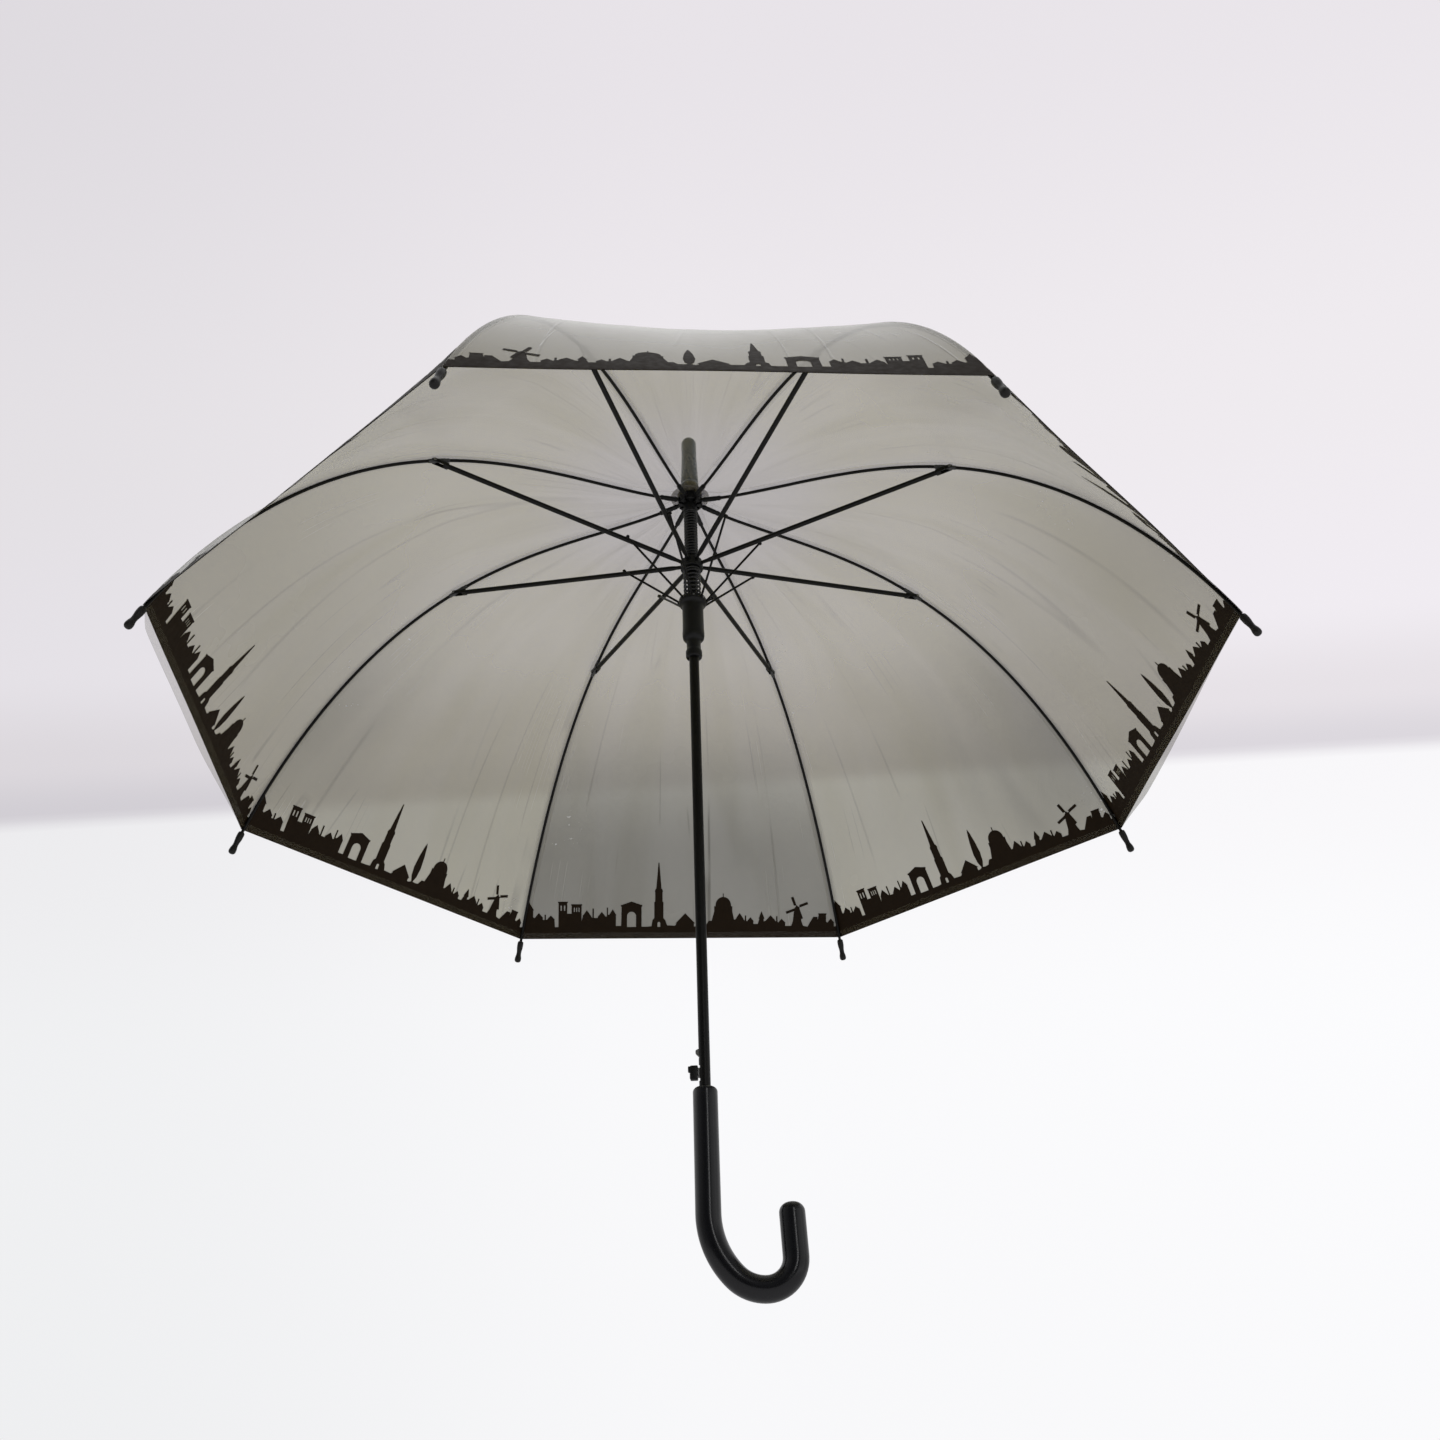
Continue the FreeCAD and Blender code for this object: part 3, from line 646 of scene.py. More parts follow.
def lip_point(k, u, t):
    """Clear edge beyond the printed band on the two slack side panels: it flares out between the ribs and vanishes at them."""
    mid = (out_dir(k) + out_dir(k + 1)).normalized()
    d = (mid * 0.88 + Vector((0, 0, 0.30))).normalized()
    wide = ease(u, 0.12, 0.78) * ease(1 - u, 0.0, 0.20) if k == 1 else ease(u, 0.02, 0.45) * ease(1 - u, 0.0, 0.12)
    return film_point(k, u, S_HEM) + d * (LIP * t * wide + 0.9 * t)


def half_panel(k, second, inner):
    """Half of panel k beside rib k (or beside rib k+1), one clear sheet; the outer half ends in a folded hem, and on
    the two slack panels in a clear lip.
    """
    verts, uvs, normals, faces = [], [], [], []

    def strip(rows, point, mark=None):
        start = len(verts)
        for s in rows:
            for j in range(COLS + 1):
                u = 0.5 * j / COLS
                uu = 1 - u if second else u
                p, at = point(uu, s)
                verts.append(metres(p))
                uvs.append((u * 0.7654 * film_profile(at)[0] / 1000.0, mark or at / 1000.0))
                normals.append(film_normal(k, uu, at))
        for i in range(len(rows) - 1):
            for j in range(COLS):
                a = start + i * (COLS + 1) + j
                f = (a, a + 1, a + COLS + 2, a + COLS + 1)
                faces.append(f[::-1] if second else f)

    strip(ROWS_IN if inner else ROWS_OUT, lambda u, s: (film_point(k, u, s), s))
    if not inner:
        if k in SLACK:
            strip([0.0, 0.3, 0.65, 1.0], lambda u, t: (lip_point(k, u, t), S_HEM), 0.64 if k == 1 else 0.62)
        strip([S_HEM - 7.0, S_HEM - 4.0, S_HEM - 1.0, S_HEM], lambda u, s: (film_point(k, u, s, -0.60), s), 0.60)
    i = (k + 1) % 8 if second else k
    name = "film_%s_%d_%s" % ("inner" if inner else "outer", i + 1, "left" if second else "right")
    ob = mesh_object(name, verts, faces, M_FILM, uvs=uvs)
    f = ob.data.polygons[COLS // 2]
    if f.normal.dot(film_normal(k, 0.75 if second else 0.25, ROWS_IN[3] if inner else ROWS_OUT[1])) < 0:
        ob.data.flip_normals()
    set_normals(ob, normals)
    return ob, i


# ------------------------------------------------------------------ printed band, plain made-up town; x from the left as seen from inside, both in millimetres
W_HEM = 2 * film_profile(S_HEM)[0] * math.sin(math.radians(22.5))


def block(x0, x1, h, cap=0.0):
    if cap:
        return [(x0, h - 1.5), (x0 - cap, h - 1.5), (x0 - cap, h), (x1 + cap, h), (x1 + cap, h - 1.5), (x1, h - 1.5)]
    return [(x0, h), (x1, h)]


def gable(x0, x1, he, hr, eave=0.6):
    return [(x0, he), (x0 - eave, he), ((x0 + x1) / 2, hr), (x1 + eave, he), (x1, he)]


def chimney(x, h, top, w=1.6):
    return [(x, h), (x, top), (x + w, top), (x + w, h)]


def round_tower(x0, x1, h, top):
    m = (x0 + x1) / 2
    return [(x0, h), (x0 - 1, h), (m - 1.0, h + (top - h) * 0.72), (m, top), (m + 1.0, h + (top - h) * 0.72), (x1 + 1, h), (x1, h)]


def dome(x0, x1, h, rise):
    m, w = (x0 + x1) / 2, (x1 - x0) / 2
    out = [(x0 - 1.5, h - 7), (x0 - 1.5, h - 1), (x0, h - 1), (x0, h)]
    for i in range(1, 12):
        a = math.pi * (1 - i / 12.0)
        if i == 6:
            out += [(m - 0.5, h + rise), (m - 0.5, h + rise + 4), (m + 0.5, h + rise + 4), (m + 0.5, h + rise)]
        else:
            out.append((m + w * math.cos(a), h + rise * math.sin(a)))
    return out + [(x1, h), (x1, h - 1), (x1 + 1.5, h - 1), (x1 + 1.5, h - 7)]


def steeple(x, w, h, top):
    """Plain stepped church tower with a long spire."""
    a = w / 2
    return [(x - a - 2.2, 21), (x - a, 23.5), (x - a, 42), (x - a + 1.0, 43), (x - a + 1.0, h - 16), (x - a + 0.5, h - 15), (x - a + 1.6, h - 12), (x - a + 2.2, h - 12),
            (x - 0.5, top), (x + 0.5, top),
            (x + a - 2.2, h - 12), (x + a - 1.6, h - 12), (x + a - 0.5, h - 15), (x + a - 1.0, h - 16), (x + a - 1.0, 43), (x + a, 42), (x + a, 23.5), (x + a + 2.2, 21)]


def poplar(x, w, h, foot=15):
    left = [(x - 0.8, foot), (x - w * 0.38, foot + 6), (x - w / 2, foot + (h - foot) * 0.36), (x - w * 0.36, foot + (h - foot) * 0.66), (x - w * 0.14, h - 4)]
    return left + [(x, h)] + [(2 * x - a, b) for a, b in reversed(left)]


def town():
    B = 12.5
    o = [(0, B + 1)]
    o += [(3, B)] + round_tower(5, 14, 33, 43) + [(14, 25)]
    o += gable(16, 25, 24, 30) + [(25, 22)] + chimney(27, 22, 28) + gable(30, 38.5, 22, 27)[1:] + [(39, B + 1)]
    o += [(43, B + 1)] + block(43, 53, 43, 0.7) + [(53, 29), (58, 29)] + block(58, 69.5, 40, 0.7) + [(69.5, 20)]
    o += gable(71, 80, 26, 33) + chimney(82, 24, 35) + [(84, 24), (88, 24)] + gable(88.5, 97, 25, 31) + chimney(98.5, 26, 36, 1.4) + [(100, 28)] + gable(101.5, 109, 27, 34) + [(109, B + 2), (115, B + 2)]
    o += [(115.5, 37)] + [(114.7, 37), (114.7, 39), (116, 39), (127, 43), (138, 39), (139.3, 39), (139.3, 37), (138.5, 37)] + [(138.5, B + 1), (145, B + 1)]
    o += [(150, 14)] + steeple(158.5, 10.5, 70, 89) + [(168, 15), (177, B + 2)]
    o += gable(179, 199, 17, 29, 1.5) + [(199, B + 1)]
    o += [(201.5, B + 1)] + poplar(205, 8.5, 60) + [(209, B + 2), (213, 15)]
    o += [(216, 20), (219.5, 20)] + dome(224, 242, 38, 10) + [(245.5, 21)]
    o += gable(248, 256, 22, 29) + chimney(258, 20, 26) + gable(261, 268, 19, 24) + [(268, 16), (273, 16)] + round_tower(275, 280, 22, 31) + [(280, 19)]
    o += gable(283, 293, 20, 26) + chimney(294.5, 19, 25) + gable(297, 305, 17, 22) + [(305, B + 1)]
    o += [(312, B + 1), (314, 19), (315.6, 32), (316.2, 34.5), (319, 37.5), (321.8, 34.5), (322.4, 32), (324, 19), (326, B + 1)]
    o += [(331, B)] + block(338, 343, 24) + [(343, 20)] + block(344.5, 353, 28, 0.6) + [(353, 18)] + gable(355, 362, 17, 22) + [(362, B), (W_HEM, B + 1)]
    outer = [(0, -0.1)] + [(0, B + 1)] + o[1:-1] + [(W_HEM, B + 1), (W_HEM, -0.1)]
    outer = [(x * W_HEM / 368.7 if 0 < x < W_HEM else x, v) for x, v in outer]
    holes = []

    def arch(x0, x1, h0, h1):
        m, w = (x0 + x1) / 2, (x1 - x0) / 2
        return [(x0, h0)] + [(m - w * math.cos(math.pi * i / 8), h1 - w + w * math.sin(math.pi * i / 8)) for i in range(9)] + [(x1, h0)]

    holes.append(arch(121.8, 132.2, 13.2, 31.0))
    holes.append(arch(156.9, 160.1, 13.2, 19.0))
    for x in (45.3, 49.2):
        holes.append([(x, 32.5), (x, 38.5), (x + 1.5, 38.5), (x + 1.5, 32.5)])
    for x in (60.6, 63.3, 66.0):
        holes.append([(x, 31.0), (x, 36.0), (x + 1.1, 36.0), (x + 1.1, 31.0)])
    holes = [[(x * W_HEM / 368.7, v) for x, v in h] for h in holes]
    islands = []
    # windmill sails: four thin blades, each widening along one edge
    hx, hv = 319.0 * W_HEM / 368.7, 34.5
    for a in (20, 110, 200, 290):
        c, d = math.cos(math.radians(a)), math.sin(math.radians(a))
        q = [(0.0, -0.6), (14.0, -0.6), (14.0, 2.4), (3.6, 2.4), (3.4, 0.6), (0, 0.6)]
        islands.append([(hx + x * c - y * d, hv + x * d + y * c) for x, y in q])
    return outer, holes, islands


def flat_print():
    """Band as a flat mesh cut into small faces, so that it can follow the curved film."""
    outer, holes, islands = town()
    bm = bmesh.new()
    for group, lift in [([outer] + holes, 0.0)] + [([i], 0.05 + 0.03 * n) for n, i in enumerate(islands)]:
        flat = [Vector((x, v, lift)) for loop in group for x, v in loop]
        vs = [bm.verts.new(p) for p in flat]
        for tri in tessellate_polygon([[Vector((x, v, 0)) for x, v in loop] for loop in group]):
            try:
                bm.faces.new([vs[i] for i in tri])
            except ValueError:
                pass
    for axis, step, top in ((0, W_HEM / 30.0, W_HEM), (1, 8.0, 88.0)):
        c = step
        while c < top:
            co = [0, 0, 0]
            no = [0, 0, 0]
            co[axis], no[axis] = c, 1
            bmesh.ops.bisect_plane(bm, geom=bm.verts[:] + bm.edges[:] + bm.faces[:], plane_co=co, plane_no=no, dist=1e-5)
            c += step
    bm.verts.ensure_lookup_table()
    bm.normal_update()
    verts = [v.co.copy() for v in bm.verts]
    faces = []
    for f in bm.faces:
        if f.calc_area() > 1e-4:
            loop = [v.index for v in f.verts]
            faces.append(loop if f.normal.z > 0 else loop[::-1])
    bm.free()
    return verts, faces


PRINT_V, PRINT_F = flat_print()


def half_print(k, second):
    """Ink of one half panel; it shows on both faces of the clear film."""
    keep = []
    for f in PRINT_F:
        x = sum(PRINT_V[i].x for i in f) / len(f)
        if (x < W_HEM / 2) == second:          # seen from inside, the left half lies beside rib k+1
            keep.append(f)
    used = sorted({i for f in keep for i in f})
    where = {v: n for n, v in enumerate(used)}
    verts, normals, faces = [], [], []
    for side in (-1, 1):
        start = len(verts)
        for i in used:
            x, v, lift = PRINT_V[i]
            s = S_HEM - v
            w = 2 * film_profile(s)[0] * math.sin(math.radians(22.5))
            d = max(-w / 2 + 0.3, min(w / 2 - 0.3, x - W_HEM / 2))
            u = 0.5 - d / w
            verts.append(metres(film_point(k, u, s, side * (0.28 + lift))))
            normals.append(film_normal(k, u, s) * side)
        faces += [[start + where[v] for v in (f if side < 0 else f[::-1])] for f in keep]
    i = (k + 1) % 8 if second else k
    ob = mesh_object("print_%d_%s" % (i + 1, "left" if second else "right"), verts, faces, M_INK)
    me = ob.data
    if sum(p.normal.dot(normals[p.vertices[0]]) * p.area for p in me.polygons) < 0:
        me.flip_normals()
    set_normals(ob, normals)
    return ob, i


canopy_done = False
for k in range(8):
    for second in (False, True):
        side = -1 if second else 1
        inner_ob, i = half_panel(k, second, True)
        outer_ob, _ = half_panel(k, second, False)
        ink, _ = half_print(k, second)
        fold_up(inner_ob, i, True)
        fold_up(outer_ob, i, False)
        fold_up(ink, i, False)
        w_in = 0.3827 * film_profile(S_J)[0] / 1000.0
        w_out = 0.3827 * film_profile(S_HEM)[0] / 1000.0
        if not canopy_done:
            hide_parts("canopy")
            canopy_done = True


# ------------------------------------------------------------------ welt: the strip of doubled film where two panels are joined over a rib
def welt(i, inner):
    rows = [s for s in (ROWS_IN if inner else ROWS_OUT) if s >= 60]
    if inner:
        rows = [56.0] + rows
    verts, faces, uvs, normals = [], [], [], []
    for s in rows:
        du = 4.6 / (0.7654 * film_profile(s)[0])
        for k, u in (((i - 1) % 8, 1 - du), ((i - 1) % 8, 1 - du * 0.45), (i, 0.0), (i, du * 0.45), (i, du)):
            verts.append(metres(film_point(k, u, s, 0.22)))
            uvs.append((0.02, s / 1000.0))
            normals.append(film_normal(k, min(max(u, 0.004), 0.996), s) if u else (film_normal((i - 1) % 8, 0.996, s) + film_normal(i, 0.004, s)).normalized())
    for a in range(len(rows) - 1):
        for j in range(4):
            faces.append((a * 5 + j, a * 5 + j + 1, a * 5 + j + 6, a * 5 + j + 5)[::-1])
    ob = mesh_object("welt_%s_%d" % ("inner" if inner else "outer", i + 1), verts, faces, M_WELT, uvs=uvs)
    set_normals(ob, normals)
    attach(ob, ("rib_%d" if inner else "rib_outer_%d") % (i + 1))


for i in range(8):
    welt(i, True)
    welt(i, False)

# ------------------------------------------------------------------ ribs, clips and tips
def arm_point(i, t, side=0.0, up=0.0):
    """Point along stretcher i, t millimetres from the nest wire."""
    return P(i, R_PIVOT + math.cos(PSI0) * t - math.sin(PSI0) * up, Z_M + math.sin(PSI0) * t + math.cos(PSI0) * up, side)


for i in range(8):
    n = i + 1
    T = tan_dir(i)
    rib, outer, arm, link = "rib_%d" % n, "rib_outer_%d" % n, "stretcher_%d" % n, "link_%d" % n

    def on_rib(s, t=0.0, up=0.0):
        r, z, a = rib_at(s)
        return P(i, r + math.sin(a) * up, z + math.cos(a) * up, t)

    # rod from the root socket to the tip, with close rings at the joint
    ss = [22.0 + (S_J - 30 - 22.0) * j / 34 for j in range(35)] + [S_J - 22 + 2.0 * j for j in range(23)] + [S_J + 30 + (589.5 - S_J - 30) * j / 50 for j in range(51)]
    rod = tube("rib_rod_%d" % n, [on_rib(s) for s in ss], [ROD_R / 1000] * len(ss), T, M_ROD, 14)
    c = (P(i, rib_at(S_J + 9)[0], rib_at(S_J + 9)[1]) - P(i, rib_at(S_J - 9)[0], rib_at(S_J - 9)[1]))
    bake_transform(rod)
    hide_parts(outer)

    # root fitting: eye on the hinge wire, tongue and a crimped socket
    parts = [disc("e", P(i, R_PIVOT, 0), T, 2.0, 1.3, M_PLASTIC, hole=1.0, bevel=0.3),
             bar("b", P(i, R_PIVOT + 1.2, 0), on_rib(8.0), T, 1.25, 1.5, M_PLASTIC)]
    prof = [(5.2, 1.2), (5.6, 2.2), (6.6, 2.5), (9.0, 2.5), (9.6, 2.25), (10.4, 2.25), (11.0, 2.5), (19.0, 2.45), (19.6, 2.2), (20.3, 2.2), (20.9, 2.45), (23.0, 2.4), (23.9, 2.1)]
    fine = []
    for (s0, r0), (s1, r1) in zip(prof, prof[1:]):
        m = max(1, int((s1 - s0) / 1.5))
        fine += [(s0 + (s1 - s0) * j / m, r0 + (r1 - r0) * j / m) for j in range(m)]
    fine.append(prof[-1])
    parts.append(tube("s", [on_rib(s) for s, _ in fine], [r / 1000 for _, r in fine], T, M_PLASTIC, 24))
    root = join("rib_root_%d" % n, parts)
    place(root, rib, "black_plastic", rib)

    # clip at the stretcher joint: grey moulded sleeve with a lug and the pin through it
    prof = [(S_J - 15.5, 1.7), (S_J - 15.2, 1.95), (S_J - 13.0, 2.05), (S_J - 12.6, 1.85), (S_J - 11.8, 1.85), (S_J - 11.4, 2.1), (S_J - 5.0, 2.1), (S_J + 4.0, 2.05), (S_J + 5.6, 1.95), (S_J + 6.0, 1.7)]
    fine = []
    for (s0, r0), (s1, r1) in zip(prof, prof[1:]):
        m = max(1, int((s1 - s0) / 1.5))
        fine += [(s0 + (s1 - s0) * j / m, r0 + (r1 - r0) * j / m) for j in range(m)]
    fine.append(prof[-1])
    parts = [tube("c", [on_rib(s) for s, _ in fine], [r / 1000 for _, r in fine], T, M_CLIP, 24),
             disc("d", P(i, RJ, ZJ), T, 2.2, 1.9, M_CLIP, bevel=0.3),
             bar("l", on_rib(S_J - 1.0, 0, 1.2), on_rib(S_J + 1.6, 0, 2.35), T, 0.8, 1.1, M_CLIP)]
    clip = join("clip_%d" % n, parts)
    place(clip, rib, "black_plastic")
    pin = disc("clip_pin_%d" % n, P(i, RJ, ZJ), T, 0.88, 3.1, M_WIRE, bevel=0.1, segs=24)
    heads = [disc("h", P(i, RJ, ZJ, sgn * 3.15), T * sgn, 1.55, 0.28, M_WIRE, bevel=0.2, segs=24) for sgn in (-1, 1)]
    place(join("clip_pin_%d" % n, [pin] + heads), rib, "wire_steel")

    # tip: bulb, waist and eye
    prof = [(589.0, 0.9), (589.1, 1.9), (589.5, 2.7), (590.3, 3.15), (591.6, 3.35), (594.0, 3.38), (596.4, 3.3), (598.6, 3.0), (600.8, 2.7), (602.8, 2.6),
            (604.4, 2.7), (605.8, 3.0), (607.3, 3.4), (609.0, 3.6), (610.6, 3.6), (611.8, 3.3), (612.7, 2.6), (613.2, 1.7), (613.4, 0.6)]
    r0, z0, a0 = rib_at(589.0)
    a1 = rib_at(600.0)[2]
    fine = []
    for (s0, q0), (s1, q1) in zip(prof, prof[1:]):
        m = max(1, int((s1 - s0) / 1.0))
        fine += [(s0 + (s1 - s0) * j / m, q0 + (q1 - q0) * j / m) for j in range(m)]
    fine.append(prof[-1])
    tip = tube("rib_tip_cap_%d" % n, [P(i, r0 + math.cos(a1) * (s - 589.0), z0 - math.sin(a1) * (s - 589.0)) for s, _ in fine], [q / 1000 for _, q in fine], T, M_TIP, 28)
    place(tip, outer, "tip_plastic", "rib_tip_%d" % n)

    # stretcher: flattened eye, drawn tube, forked end riveted to the clip, and the link's rivet
    parts = [disc("e", P(i, R_PIVOT, Z_M), T, 2.0, 1.3, M_STEEL, hole=1.0, bevel=0.25),
             bar("b", arm_point(i, 1.4), arm_point(i, 10.0), T, 1.25, 1.5, M_STEEL)]
    prof = [(6.2, 1.4), (7.0, 1.7), (9.0, 2.1), (12.0, 2.35), (15.0, STR_R), (ARM - 16.0, STR_R), (ARM - 12.5, 2.3), (ARM - 10.0, 2.0), (ARM - 9.0, 1.5)]
    fine = []
    for (s0, q0), (s1, q1) in zip(prof, prof[1:]):
        m = 6 if s1 - s0 > 50 else 2
        fine += [(s0 + (s1 - s0) * j / m, q0 + (q1 - q0) * j / m) for j in range(m)]
    fine.append(prof[-1])
    parts.append(tube("t", [arm_point(i, s) for s, _ in fine], [q / 1000 for _, q in fine], T, M_STEEL, 20))
    for sgn in (-1, 1):
        parts.append(bar("f", arm_point(i, ARM - 14.0, sgn * 2.48), arm_point(i, ARM - 0.4, sgn * 2.48), T, 0.42, 1.9, M_STEEL, bevel=0.2))
        parts.append(disc("g", P(i, RJ, ZJ, sgn * 2.48), T, 1.9, 0.42, M_STEEL, hole=0.92, bevel=0.2, segs=24))
    parts.append(bar("y", arm_point(i, ARM - 14.2), arm_point(i, ARM - 9.2), T, 2.6, 1.9, M_STEEL, bevel=0.5))
    parts.append(disc("v", arm_point(i, LINK_W, 3.6), T, 0.72, 1.9, M_STEEL, bevel=0.1, segs=20))
    parts.append(disc("w", arm_point(i, LINK_W, 5.45), T, 1.5, 0.35, M_STEEL, bevel=0.25, segs=24))
    place(join("stretcher_tube_%d" % n, parts), arm, "black_steel", arm)

    # pull link: round wire with two eyes
    a, b = P(i, R_RUN, Z_L, LINK_OFF), P(i, W_R, W_Z, LINK_OFF)
    d = (b - a).normalized()
    parts = [tube("l", [a + d * 0.0016, a + d * 0.004, b - d * 0.004, b - d * 0.0016], [LINK_R * 0.9 / 1000, LINK_R / 1000, LINK_R / 1000, LINK_R * 0.9 / 1000], T, M_ROD, 16)]
    for q, size in ((a, 2.1), (b, 1.75)):
        parts.append(disc("e", q, T, size, 1.05, M_ROD, hole=0.78, bevel=0.3, segs=28))
    place(join("pull_link_%d" % n, parts), link, "black_steel", link)


# ------------------------------------------------------------------ hub pieces with radial slots
def carve(ob, cutters, angle=30):
    for c in cutters:
        fix_normals(c)
    tool = join("cut", cutters) if len(cutters) > 1 else cutters[0]
    md = ob.modifiers.new("w", "BOOLEAN")
    md.operation, md.solver, md.object = "DIFFERENCE", "EXACT", tool
    md.use_self = True
    new = bpy.data.meshes.new_from_object(ob.evaluated_get(bpy.context.evaluated_depsgraph_get()))
    ob.modifiers.clear()
    ob.data = new
    bpy.data.objects.remove(tool)
    bm = bmesh.new()
    bm.from_mesh(ob.data)
    bmesh.ops.remove_doubles(bm, verts=bm.verts, dist=1e-6)
    for f in bm.faces:
        f.smooth = True
    for e in bm.edges:
        e.smooth = not (len(e.link_faces) == 2 and e.calc_face_angle(0) > math.radians(angle))
    bm.to_mesh(ob.data)
    bm.free()
    return ob


def radial_box(i, r0, r1, t0, t1, z0, z1):
    v = [P(i, r, z, t) for r in (r0, r1) for t in (t0, t1) for z in (z0, z1)]
    return mesh_object("c", v, [(0, 1, 3, 2), (4, 6, 7, 5), (0, 4, 5, 1), (2, 3, 7, 6), (0, 2, 6, 4), (1, 5, 7, 3)], M_PLASTIC)


def plain_box(x0, x1, y0, y1, z0, z1):
    v = [Vector((x, y, z + HZ)) / 1000 for x in (x0, x1) for y in (y0, y1) for z in (z0, z1)]
    return mesh_object("c", v, [(0, 1, 3, 2), (4, 6, 7, 5), (0, 4, 5, 1), (2, 3, 7, 6), (0, 2, 6, 4), (1, 5, 7, 3)], M_PLASTIC)


notch = lathe("crown_notch", [(4.66, -13.0), (6.4, -13.0), (6.8, -12.6), (6.8, -4.2), (11.4, -4.0), (12.0, -3.4), (12.0, 5.3), (11.5, 5.9), (4.66, 5.9)], M_PLASTIC, 96)
carve(notch, [radial_box(i, 6.9, 16, -1.5, 1.5, -8, 3.0) for i in range(8)])
place(notch, ROOT, "black_plastic", "top_notch")

nest = lathe("nest_hub", [(4.72, Z_M - 6.0), (10.4, Z_M - 6.0), (11.0, Z_M - 5.4), (11.0, Z_M - 3.6), (10.7, Z_M - 3.3), (11.0, Z_M - 3.0), (11.0, Z_M + 3.0), (10.4, Z_M + 3.6), (7.3, Z_M + 3.7), (6.8, Z_M + 4.2), (6.8, Z_M + 8.6), (6.4, Z_M + 9.0), (4.72, Z_M + 9.0)], M_PLASTIC, 96)
carve(nest, [radial_box(i, 6.9, 16, -1.5, 1.5, Z_M - 2.6, Z_M + 12) for i in range(8)])
place(nest, "middle_nest", "black_plastic", "middle_nest")

zl = Z_L
prof = [(4.72, zl + 2.9), (12.3, zl + 2.9), (13.0, zl + 2.5), (13.25, zl + 1.8), (13.25, zl - 2.4), (12.8, zl - 3.3), (11.3, zl - 4.3), (10.45, zl - 5.6), (10.15, zl - 7.5),
        (10.1, zl - 20.0), (10.2, zl - 33.0), (10.45, zl - 37.0), (10.45, zl - 41.0), (10.0, zl - 43.6), (8.6, zl - 45.6), (7.4, zl - 46.6), (6.8, zl - 47.6), (6.7, zl - 49.5), (6.7, zl - 55.5),
        (7.0, zl - 57.2), (7.6, zl - 58.6), (7.8, zl - 60.0), (7.8, zl - 63.8), (7.3, zl - 65.6), (6.4, zl - 66.3), (4.72, zl - 66.3)]
runner = lathe("runner_sleeve", prof, M_PLASTIC, 96)
cut = [radial_box(i, 10.7, 18, LINK_OFF - 1.35, LINK_OFF + 1.35, zl - 2.4, zl + 6) for i in range(8)]
cut.append(plain_box(-10, -3, -1.7, 1.7, zl - 70, zl - 53.0))
carve(runner, cut)
place(runner, "runner", "black_plastic", "runner")


# ------------------------------------------------------------------ springs
def helix(name, r, wire, z0, z1, turns, mat):
    """Wound wire with its last turns closed up."""
    n = int(turns * 40)
    pts = []
    dead = 0.9
    for j in range(n + 1):
        t = j / 40.0
        x = min(max((t - dead) / (turns - 2 * dead), 0.0), 1.0)
        low = min(t, dead) * 2 * wire * 1.02
        high = max(0.0, t - (turns - dead)) * 2 * wire * 1.02
        span = (z1 - z0) - 2 * wire - 2 * dead * 2 * wire * 1.02
        z = z0 + wire + low + x * span + high
        a = 2 * math.pi * t
        pts.append(Vector((r * math.cos(a), r * math.sin(a), z + HZ)) / 1000)
    verts, faces = [], []
    segs = 12
    for j, c in enumerate(pts):
        d = (pts[min(j + 1, n)] - pts[max(j - 1, 0)]).normalized()
        e = Vector((c.x, c.y, 0)).normalized()
        up = d.cross(e).normalized()
        for q in range(segs):
            b = 2 * math.pi * q / segs
            verts.append(c + (e * math.cos(b) + up * math.sin(b)) * wire / 1000)
    for j in range(n):
        for q in range(segs):
            k = (q + 1) % segs
            faces.append((j * segs + q, j * segs + k, (j + 1) * segs + k, (j + 1) * segs + q))
    faces.append(tuple(range(segs))[::-1])
    faces.append(tuple(n * segs + q for q in range(segs)))
    return fix_normals(mesh_object(name, verts, faces, mat, angle=50))


spring = helix("opening_coil", 7.55, 1.0, zl + 3.1, Z_M - 6.15, 8, M_SPRING)
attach(spring, "middle_nest")
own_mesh(spring)
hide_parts("opening_spring")
buffer_ = helix("buffer_coil", 5.95, 0.85, Z_M + 9.4, -13.2, 17, M_SPRING)
place(buffer_, ROOT, "spring_steel", "buffer_spring")


# ------------------------------------------------------------------ washer, catch, button
w = [(4.7, 6.75 + 0.3), (7.6, 7.0), (12.4, 6.95), (19.0, 5.2)]
top = [(r, z + 0.75) for r, z in w]
washer = lathe("crown_washer_disc", w + [(19.35, 5.3), (19.35, 5.75)] + [(18.9, 5.95)] + top[:-1][::-1], M_WASHER, 96, angle=25)
place(washer, ROOT, "clear_washer", "crown_washer")


def rounded_box(name, x0, x1, y0, y1, z0, z1, r, mat, segments=3):
    v = [Vector((x, y, z + HZ)) / 1000 for x in (x0, x1) for y in (y0, y1) for z in (z0, z1)]
    ob = mesh_object(name, v, [(0, 1, 3, 2), (4, 6, 7, 5), (0, 4, 5, 1), (2, 3, 7, 6), (0, 2, 6, 4), (1, 5, 7, 3)], mat)
    fix_normals(ob)
    bm = bmesh.new()
    bm.from_mesh(ob.data)
    bmesh.ops.bevel(bm, geom=list(bm.edges), offset=r / 1000, segments=segments, profile=0.5, affect="EDGES")
    for f in bm.faces:
        f.smooth = True
    bm.to_mesh(ob.data)
    bm.free()
    return ob


